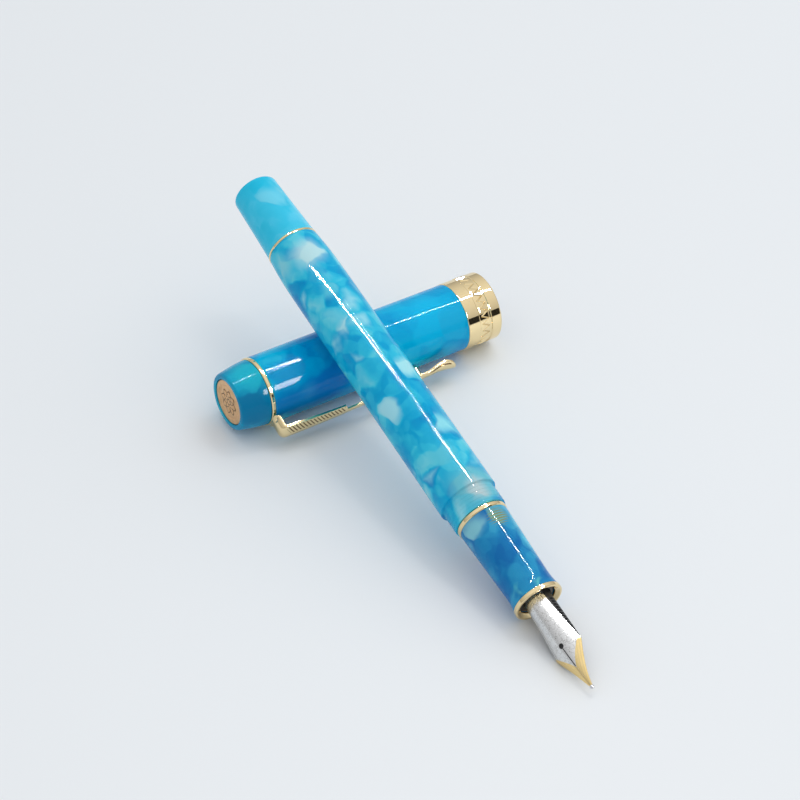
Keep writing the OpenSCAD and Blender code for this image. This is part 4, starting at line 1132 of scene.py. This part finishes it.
class PEN_OT_resin(bpy.types.Operator):
    """Turns the resin pieces of cap, barrel and grip"""

    bl_idname = "pen.resin"
    bl_label = "Resin pieces"

    def execute(self, context):
        edge = context.scene.pen_turned.edge_round
        self.turn_barrel(context.scene.pen_colours, edge)
        self.turn_cap(edge)
        self.turn_grip(edge)
        return {"FINISHED"}

    def turn_barrel(self, c, edge):
        """The barrel and the tail behind its ring."""
        barrel = radius_of("barrel_tube", PEN)
        mouth = stretch("barrel_tube", PEN)[1]
        blues = [(0.3, c.barrel_deep), (0.43, c.barrel_body), (0.56, c.barrel_light), (0.7, "#62D4E8")]
        chips = [(-172, 21.6, barrel, 3.7, "#BEE6EC"), (-112, 20, barrel, 2.5, "#84D4E4"),
                 (-160, 31, barrel, 2.2, "#5CCBE4"), (-147, 39.5, barrel, 1.9, "#A4DDEA"),
                 (150, 53, barrel, 2.3, "#A8E8F2"), (-130, 60, barrel, 2.0, "#A2E0EE"),
                 (160, 68, barrel, 2.1, "#92E2F0"), (-156, 74, barrel, 2.6, "#5CCBE2"),
                 (178, mouth - 4.2, barrel, 5.4, "#6CC4D6"), (178, mouth - 3.0, barrel, 2.6, "#BCD4D8"),
                 (20, 30, barrel, 3.0, "#BEE6EC"), (60, 55, barrel, 2.6, "#A2E0EE"),
                 (-30, 70, barrel, 2.8, "#A8E8F2")]
        turn_again(["barrel_tube"], PEN, resin_material(
            "marbled_resin_barrel", PEN, blues, c.chips, (3, 8, 11), 4.6, 0.42, chips), BARREL_ROUND)
        light_blues = [(0.3, "#1CC0E4"), (0.5, "#3CCAEC"), (0.7, "#62D4F4")]
        turn_again(["barrel_tail"], PEN, resin_material(
            "marbled_resin_tail", PEN, light_blues, "#8ADCF0", (1, 4, 2), 5.5, 0.25,
            [(-178, 6, 5, 2.2, "#70D6F0")]), edge)

    def turn_cap(self, edge):
        """The cap and the finial behind its clip ring."""
        cap_r = radius_of("cap_tube", CAP)
        blues = [(0.32, "#008ECC"), (0.46, "#00A8DC"), (0.6, "#04B8E4"), (0.74, "#2CC8E8")]
        # Painted shade: the first three, darker chips lie low on the cap's side by the clip, where the pen and the
        # clip shade it; the other three are lighter chips
        chips = [(-6, 10, cap_r, 5.0, "#0A80C4"), (-10, 19, cap_r, 5.5, "#0A7CC6"),
                 (-15, 29, cap_r, 5.0, "#0A84CA"), (-62, 44, cap_r, 6.0, "#10BEEC"),
                 (-38, 49, cap_r, 3.5, "#1CB6E4"), (-58, 11, cap_r, 3.0, "#1CA4DA")]
        turn_again(["cap_tube"], CAP, resin_material(
            "marbled_resin_cap", CAP, blues, "#62C8E4", (5, 1, 9), 6.0, 0.25, chips), edge)
        teals = [(0.3, "#007EAE"), (0.5, "#0A9EC6"), (0.7, "#30BAD6")]
        # Painted light and shade: the darker chip on the finial's side and the pale chip on its top make the side
        # darker and the top lighter
        chips = [(-20, 3, cap_r, 4.5, "#067CAA"), (-85, 4, cap_r, 3.5, "#1CB8D0")]
        turn_again(["cap_finial"], CAP, resin_material(
            "finial_resin_cap", CAP, teals, "#68CAD8", (2, 7, 3), 5.0, 0.25, chips), edge)

    def turn_grip(self, edge):
        """The grip, whose brass connector shows through a pale spot near its thread."""
        grip = stretch("section_grip", PEN)
        thin = radius_of("section_connector", PEN)
        blues = [(0.32, "#1070B4"), (0.46, "#1C84BE"), (0.6, "#2C9ACA"), (0.74, "#4CB6D8")]
        chips = [(-128, grip[0] + 1.8, thin, 2.2, "#84C8D8"), (172, grip[0] + 2.2, thin, 2.3, "#78B0A8"),
                 (-130, grip[1] - 0.6, thin, 1.7, "#5CC0CC"), (-170, grip[1] - 0.6, thin, 1.7, "#5CC0CC"),
                 (115, grip[0] + 4, thin, 3.0, "#5CC8E2"), (110, grip[0] + 9, thin, 3.0, "#4CC0E0"),
                 (60, grip[0] + 2, thin, 2.0, "#84C8D8")]
        threads = [(172, grip[0] + 2.4, thin, 0.55, "#8C8C5A")]
        turn_again(["section_grip"], PEN, resin_material(
            "grip_resin_pen", PEN, blues, "#62BEDC", (4, 2, 6), 4.5, 0.2, chips, threads), edge)


class PEN_OT_rings(bpy.types.Operator):
    """Turns the gold rings of cap, barrel and grip"""

    bl_idname = "pen.rings"
    bl_label = "Gold rings"

    def execute(self, context):
        edge = context.scene.pen_turned.ring_round
        turn_again(["clip_ring"], CAP, finish("gold_plate_cap"), edge)
        turn_again(["tail_ring", "mouth_ring", "section_end_ring"], PEN, finish("gold_plate_pen"), edge)
        return {"FINISHED"}


def lay_zigzag(tree, inputs):
    """Ridged bars round the cap, leaning one way and the other by turns."""
    points, angle, number = ring_of_points(tree, inputs["Bars"], inputs["Radius"], inputs["Station"])
    odd = add(tree, "ShaderNodeMath", number, 2.0, operation="MODULO")[0]
    side = add(tree, "ShaderNodeMath", odd, 2.0, -1.0, operation="MULTIPLY_ADD")[0]
    lean = add(tree, "ShaderNodeMath", side, inputs["Lean"], operation="MULTIPLY")[0]
    turn = add(tree, "ShaderNodeCombineXYZ", X=lean, Z=angle)[0]
    bar = add(tree, "GeometryNodeMeshCylinder", Vertices=4, Radius=inputs["Bar width"],
              Depth=inputs["Bar length"], fill_type="NGON")[0]
    return add(tree, "GeometryNodeInstanceOnPoints", points, Instance=bar, Rotation=turn)[0]


class PEN_OT_band(bpy.types.Operator):
    """Turns the cap band and lays a zigzag of bars in its middle zone"""

    bl_idname = "pen.band"
    bl_label = "Cap band"

    def execute(self, context):
        sizes = context.scene.pen_turned
        gold = finish("gold_plate_cap")
        outline = outline_of("cap_band", CAP)
        band_r = max(r for r, _ in outline)
        band_end = max(z for _, z in outline)
        floors = sorted(z for r, z in outline if 0.1 < band_r - r < 0.3 and z < band_end - 0.6)
        low, high = floors[-3:-1]
        sunk = 0.16
        outline = [(r - sunk, z) if low < z < high else (r, z) for r, z in outline]
        mesh = turned("cap_band_turned", rounded(outline, sizes.ring_round))
        finished("cap_band_turned", mesh, CAP, gold, "cap", ("cap_band",))
        margin = 0.35
        values = {"Bars": sizes.zigzag_bars, "Radius": band_r - sizes.zigzag_width,
                  "Station": (low + high) / 2, "Lean": sizes.zigzag_lean, "Bar width": sizes.zigzag_width,
                  "Bar length": (high - low - margin) / math.cos(sizes.zigzag_lean)}
        bars = grown("band_zigzag", lay_zigzag, values, gold)
        finished("band_zigzag", bars, CAP, gold, "cap", (), 30)
        return {"FINISHED"}


def lay_petals(tree, inputs):
    """Petals at equal steps round the middle of a disc."""
    points, angle, _ = ring_of_points(tree, inputs["Petals"], inputs["Radius"], inputs["Station"])
    turn = add(tree, "ShaderNodeCombineXYZ", Z=angle)[0]
    petal = add(tree, "GeometryNodeMeshUVSphere", Segments=16, Rings=8, Radius=1.0)[0]
    size = add(tree, "ShaderNodeCombineXYZ", inputs["Length"], inputs["Width"], inputs["Height"])[0]
    return add(tree, "GeometryNodeInstanceOnPoints", points, Instance=petal, Rotation=turn, Scale=size)[0]


class PEN_OT_medallion(bpy.types.Operator):
    """Turns the medallion and lays a plain rosette on it"""

    bl_idname = "pen.medallion"
    bl_label = "Medallion"

    def execute(self, context):
        petals = context.scene.pen_turned.petals
        bronze = bronze_material("bronze_medallion_disc", context.scene.pen_colours.bronze, CAP, petals)
        turn_again(["finial_medallion"], CAP, bronze, MEDALLION_ROUND)
        sunk = 0.06
        values = {"Petals": petals, "Radius": 2.0, "Station": stretch("finial_medallion", CAP)[0] + sunk,
                  "Length": 0.7, "Width": 0.4, "Height": 0.1}
        rosette = grown("medallion_rosette", lay_petals, values, bronze)
        finished("medallion_rosette", rosette, CAP, bronze, "cap", (), 60)
        return {"FINISHED"}


def wind_thread(tree, inputs):
    """A rounded thread wound on a land at one pitch."""
    spiral = add(tree, "GeometryNodeCurveSpiral", Resolution=96, Rotations=inputs["Turns"],
                 Start_Radius=inputs["Radius"], End_Radius=inputs["Radius"], Height=inputs["Height"])[0]
    upright = add(tree, "GeometryNodeSetCurveNormal", spiral, mode="Z_UP")[0]
    profile = add(tree, "GeometryNodeCurvePrimitiveCircle", Resolution=10,
                  Radius=inputs["Thread radius"])[0]
    thread = add(tree, "GeometryNodeCurveToMesh", upright, profile, Fill_Caps=True)[0]
    place = add(tree, "ShaderNodeCombineXYZ", Z=inputs["Start"])[0]
    return add(tree, "GeometryNodeSetPosition", thread, Offset=place)[0]


class PEN_OT_thread(bpy.types.Operator):
    """Winds the cap thread on the barrel's land"""

    bl_idname = "pen.thread"
    bl_label = "Cap thread"

    def execute(self, context):
        sizes = context.scene.pen_turned
        land = mount("barrel_land")
        middle = (PEN.inverted() @ Vector(land["pos_m"])).z
        plain_ends = 0.6
        length = land["dims"]["length_mm"] - plain_ends
        values = {"Turns": length / sizes.thread_pitch,
                  "Radius": land["dims"]["r_mm"] - sizes.thread_depth / 2, "Height": length,
                  "Thread radius": sizes.thread_depth, "Start": middle - length / 2}
        resin = bpy.data.materials["marbled_resin_barrel"]
        mesh = grown("cap_thread", wind_thread, values, resin)
        finished("cap_thread", mesh, PEN, resin, "barrel", (), 60)
        return {"FINISHED"}


class PEN_OT_fittings(bpy.types.Operator):
    """Dresses what the pen holds inside: fittings, feed, converter and inner cap"""

    bl_idname = "pen.fittings"
    bl_label = "Inner fittings"

    def execute(self, context):
        dress(["feed", "nib_housing", "converter_rod"], finish("black_plastic_pen"))
        dress(["inner_cap"], finish("black_plastic_cap"))
        dress(["barrel_bushing", "section_connector"], finish("turned_brass_pen"))
        dress(["finial_stud"], finish("turned_steel_cap"))
        dress(["converter_tube"], clear_plastic("clear_plastic_pen", PEN))
        dress(["converter_collar", "converter_knob"], finish("bright_plate_pen"))
        dress(["converter_seal"], rubber_material("seal_rubber_pen", PEN))
        return {"FINISHED"}


# ---- Stage ----


def lamp(name, target, direction, distance, along, length, width, brightness):
    """A rectangular lamp at a direction from its target, whose long side runs along a given way."""
    away = Vector(direction).normalized()
    light = bpy.data.lights.new(name, "AREA")
    light.shape = "RECTANGLE"
    light.size, light.size_y = length * MM, width * MM
    light.energy = brightness * math.pi * light.size * light.size_y
    x = (Vector(along) - Vector(along).dot(away) * away).normalized()
    holder = bpy.data.objects.new(name, light)
    holder.matrix_world = Matrix.Translation(Vector(target) + away * distance * MM) @ turn_to(x, away)
    holder.visible_camera = False
    bpy.context.scene.collection.objects.link(holder)
    return holder


def tube_lamp(name, start, end, width, brightness):
    """A thin tube of light between two places in millimetres from the pen's middle, seen only as the
    bright line that polished surfaces mirror."""
    start, end = Vector(start), Vector(end)
    middle, way = (start + end) / 2, end - start
    tube = lamp(name, PEN_MIDDLE, middle, middle.length, way, way.length, width, brightness)
    tube.visible_diffuse = False


def flat_sheet(name, half_x, half_y, material):
    """A flat rectangle about its own middle, with half its sides given in metres."""
    mesh = bpy.data.meshes.new(name)
    corners = [(i * half_x, j * half_y, 0) for i, j in ((-1, -1), (1, -1), (1, 1), (-1, 1))]
    mesh.from_pydata(corners, [], [(0, 1, 2, 3)])
    mesh.materials.append(material)
    sheet = bpy.data.objects.new(name, mesh)
    bpy.context.scene.collection.objects.link(sheet)
    return sheet


def dark_card(name, target, direction, distance, size):
    """A black card that metal mirrors as a dark patch."""
    away = Vector(direction).normalized()
    x = Vector((0, 1, 0)).cross(away).normalized()
    material, tree = blank_material(name)
    close_material(tree, Base_Color=colour("#0A0A0A"), Roughness=0.9)
    card = flat_sheet(name, size[0] * MM / 2, size[1] * MM / 2, material)
    card.matrix_world = Matrix.Translation(Vector(target) + away * distance * MM) @ turn_to(x, away)
    card.visible_camera = card.visible_diffuse = card.visible_shadow = False


def plain_floor(hex_code, reach=1.5):
    """A wide plain floor, painted matt, which ends reach metres from its middle."""
    material, tree = blank_material("floor_paint")
    spot = add(tree, "ShaderNodeTexCoord")["Object"]
    shade = add(tree, "ShaderNodeTexNoise", Vector=spot, Scale=3.0, Detail=1.0)[0]
    share = add(tree, "ShaderNodeMath", shade, 0.3, operation="MULTIPLY")[0]
    toned = add(tree, "ShaderNodeMix", share, colour(hex_code), colour("#E8ECEE"), data_type="RGBA")[2]
    close_material(tree, Base_Color=toned, Roughness=0.6)
    floor = flat_sheet("floor", reach, reach, material)


def plain_sky(strength):
    """Plain surroundings, a little brighter overhead than at the horizon."""
    world = bpy.data.worlds.new("surroundings")
    world.use_nodes = True
    tree = world.node_tree
    tree.nodes.clear()
    way = add(tree, "ShaderNodeTexCoord")["Generated"]
    up = add(tree, "ShaderNodeSeparateXYZ", way)[2]
    level = add(tree, "ShaderNodeMapRange", up, 0.0, 1.0, 0.5 * strength, 1.12 * strength)[0]
    glow = add(tree, "ShaderNodeBackground", colour("#FCFDFF"), level)[0]
    add(tree, "ShaderNodeOutputWorld", glow)
    bpy.context.scene.world = world


# The place near the pen's middle that the thin lights are arranged about
PEN_MIDDLE = PEN @ Vector((0, 0, 64))
TUBE_WIDTH = 13
TUBES = (
    ("tube_barrel", (-230, -150, 562), (-174, 133, 570)),
    ("tube_mouth", (-156, 143, 565), (-136, 190, 552)),
    ("tube_corner", (-136, 190, 552), (-135, 226, 538)),
    ("tube_grip", (-102, 240, 538), (-60, 219, 544)),
    ("tube_cap", (-190, 155, 507), (-8, 296, 502)),
)
# Where the camera aims on the floor, in millimetres along X and Y from the middle of the medallion's face
AIM = (9.408, 33.84)


def set_camera(stage, middle):
    """A long lens that looks at middle from the given direction."""
    turn, height = stage.azimuth, stage.elevation
    back = Vector((math.sin(turn) * math.cos(height), -math.cos(turn) * math.cos(height), math.sin(height)))
    right = Vector((math.cos(turn), math.sin(turn), 0))
    x = right * math.cos(stage.roll) + back.cross(right) * math.sin(stage.roll)
    camera = bpy.data.cameras.new("camera")
    camera.lens = stage.lens
    camera.sensor_width = 36
    camera.clip_end = 10
    holder = bpy.data.objects.new("camera", camera)
    holder.matrix_world = Matrix.Translation(middle + back * stage.distance * MM) @ turn_to(x, back)
    bpy.context.scene.collection.objects.link(holder)
    bpy.context.scene.camera = holder


class PEN_OT_stage(bpy.types.Operator):
    """Adds the floor, the soft studio light and the camera"""

    bl_idname = "pen.stage"
    bl_label = "Stage"

    def execute(self, context):
        stage = context.scene.pen_stage
        near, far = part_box("finial_medallion")
        middle = Vector(((near.x + far.x) / 2 + AIM[0] * MM, near.y + AIM[1] * MM, 0))
        set_camera(stage, middle)
        plain_floor(context.scene.pen_colours.floor)
        plain_sky(stage.sky)
        key = lamp("key_lamp", middle, direction=(-0.13, 0.68, 0.72), distance=1000, along=(1, 0, 0),
                   length=1000, width=1000, brightness=stage.key)
        key.visible_glossy = False
        for name, start, end in TUBES:
            tube_lamp(name, start, end, TUBE_WIDTH, stage.tube)
        box = lamp("side_softbox", PEN_MIDDLE, direction=(415, 170, 320), distance=551, along=(0, 1, 0),
                   length=119, width=150, brightness=40)
        box.visible_diffuse = False
        dark_card("dark_card", CAP @ Vector((0, 0, -17)), direction=(0.87, 0.437, 0.17), distance=500,
                  size=(150, 180))
        context.scene.view_settings.view_transform = "Standard"
        return {"FINISHED"}


# ---- Panel and registration ----


BUILD_STEPS = (PEN_OT_resin, PEN_OT_rings, PEN_OT_band, PEN_OT_medallion, PEN_OT_clip, PEN_OT_thread,
               PEN_OT_nib, PEN_OT_fittings, PEN_OT_stage)
SETTINGS = {"pen_colours": PenColours, "pen_turned": TurnedSizes, "pen_clip": ClipSizes,
            "pen_nib": NibSizes, "pen_stage": StageSizes}


class PEN_PT_builder(bpy.types.Panel):
    """Lists the steps that build the pen"""

    bl_idname = "PEN_PT_builder"
    bl_label = "Fountain pen"
    bl_space_type = "VIEW_3D"
    bl_region_type = "UI"
    bl_category = "Pen"

    def draw(self, context):
        for step in BUILD_STEPS:
            self.layout.operator(step.bl_idname)


def register():
    """Registers the settings, then the steps and the panel."""
    for group in SETTINGS.values():
        bpy.utils.register_class(group)
    for name, group in SETTINGS.items():
        setattr(bpy.types.Scene, name, PointerProperty(type=group))
    for step in BUILD_STEPS + (PEN_PT_builder,):
        bpy.utils.register_class(step)


def unregister():
    """Takes back what register adds, in reverse."""
    for step in reversed(BUILD_STEPS + (PEN_PT_builder,)):
        bpy.utils.unregister_class(step)
    for name, group in SETTINGS.items():
        delattr(bpy.types.Scene, name)
        bpy.utils.unregister_class(group)


def main():
    """Builds the pen step by step."""
    register()
    for step in BUILD_STEPS:
        group, name = step.bl_idname.split(".")
        getattr(getattr(bpy.ops, group), name)()


if __name__ == "__main__":
    main()
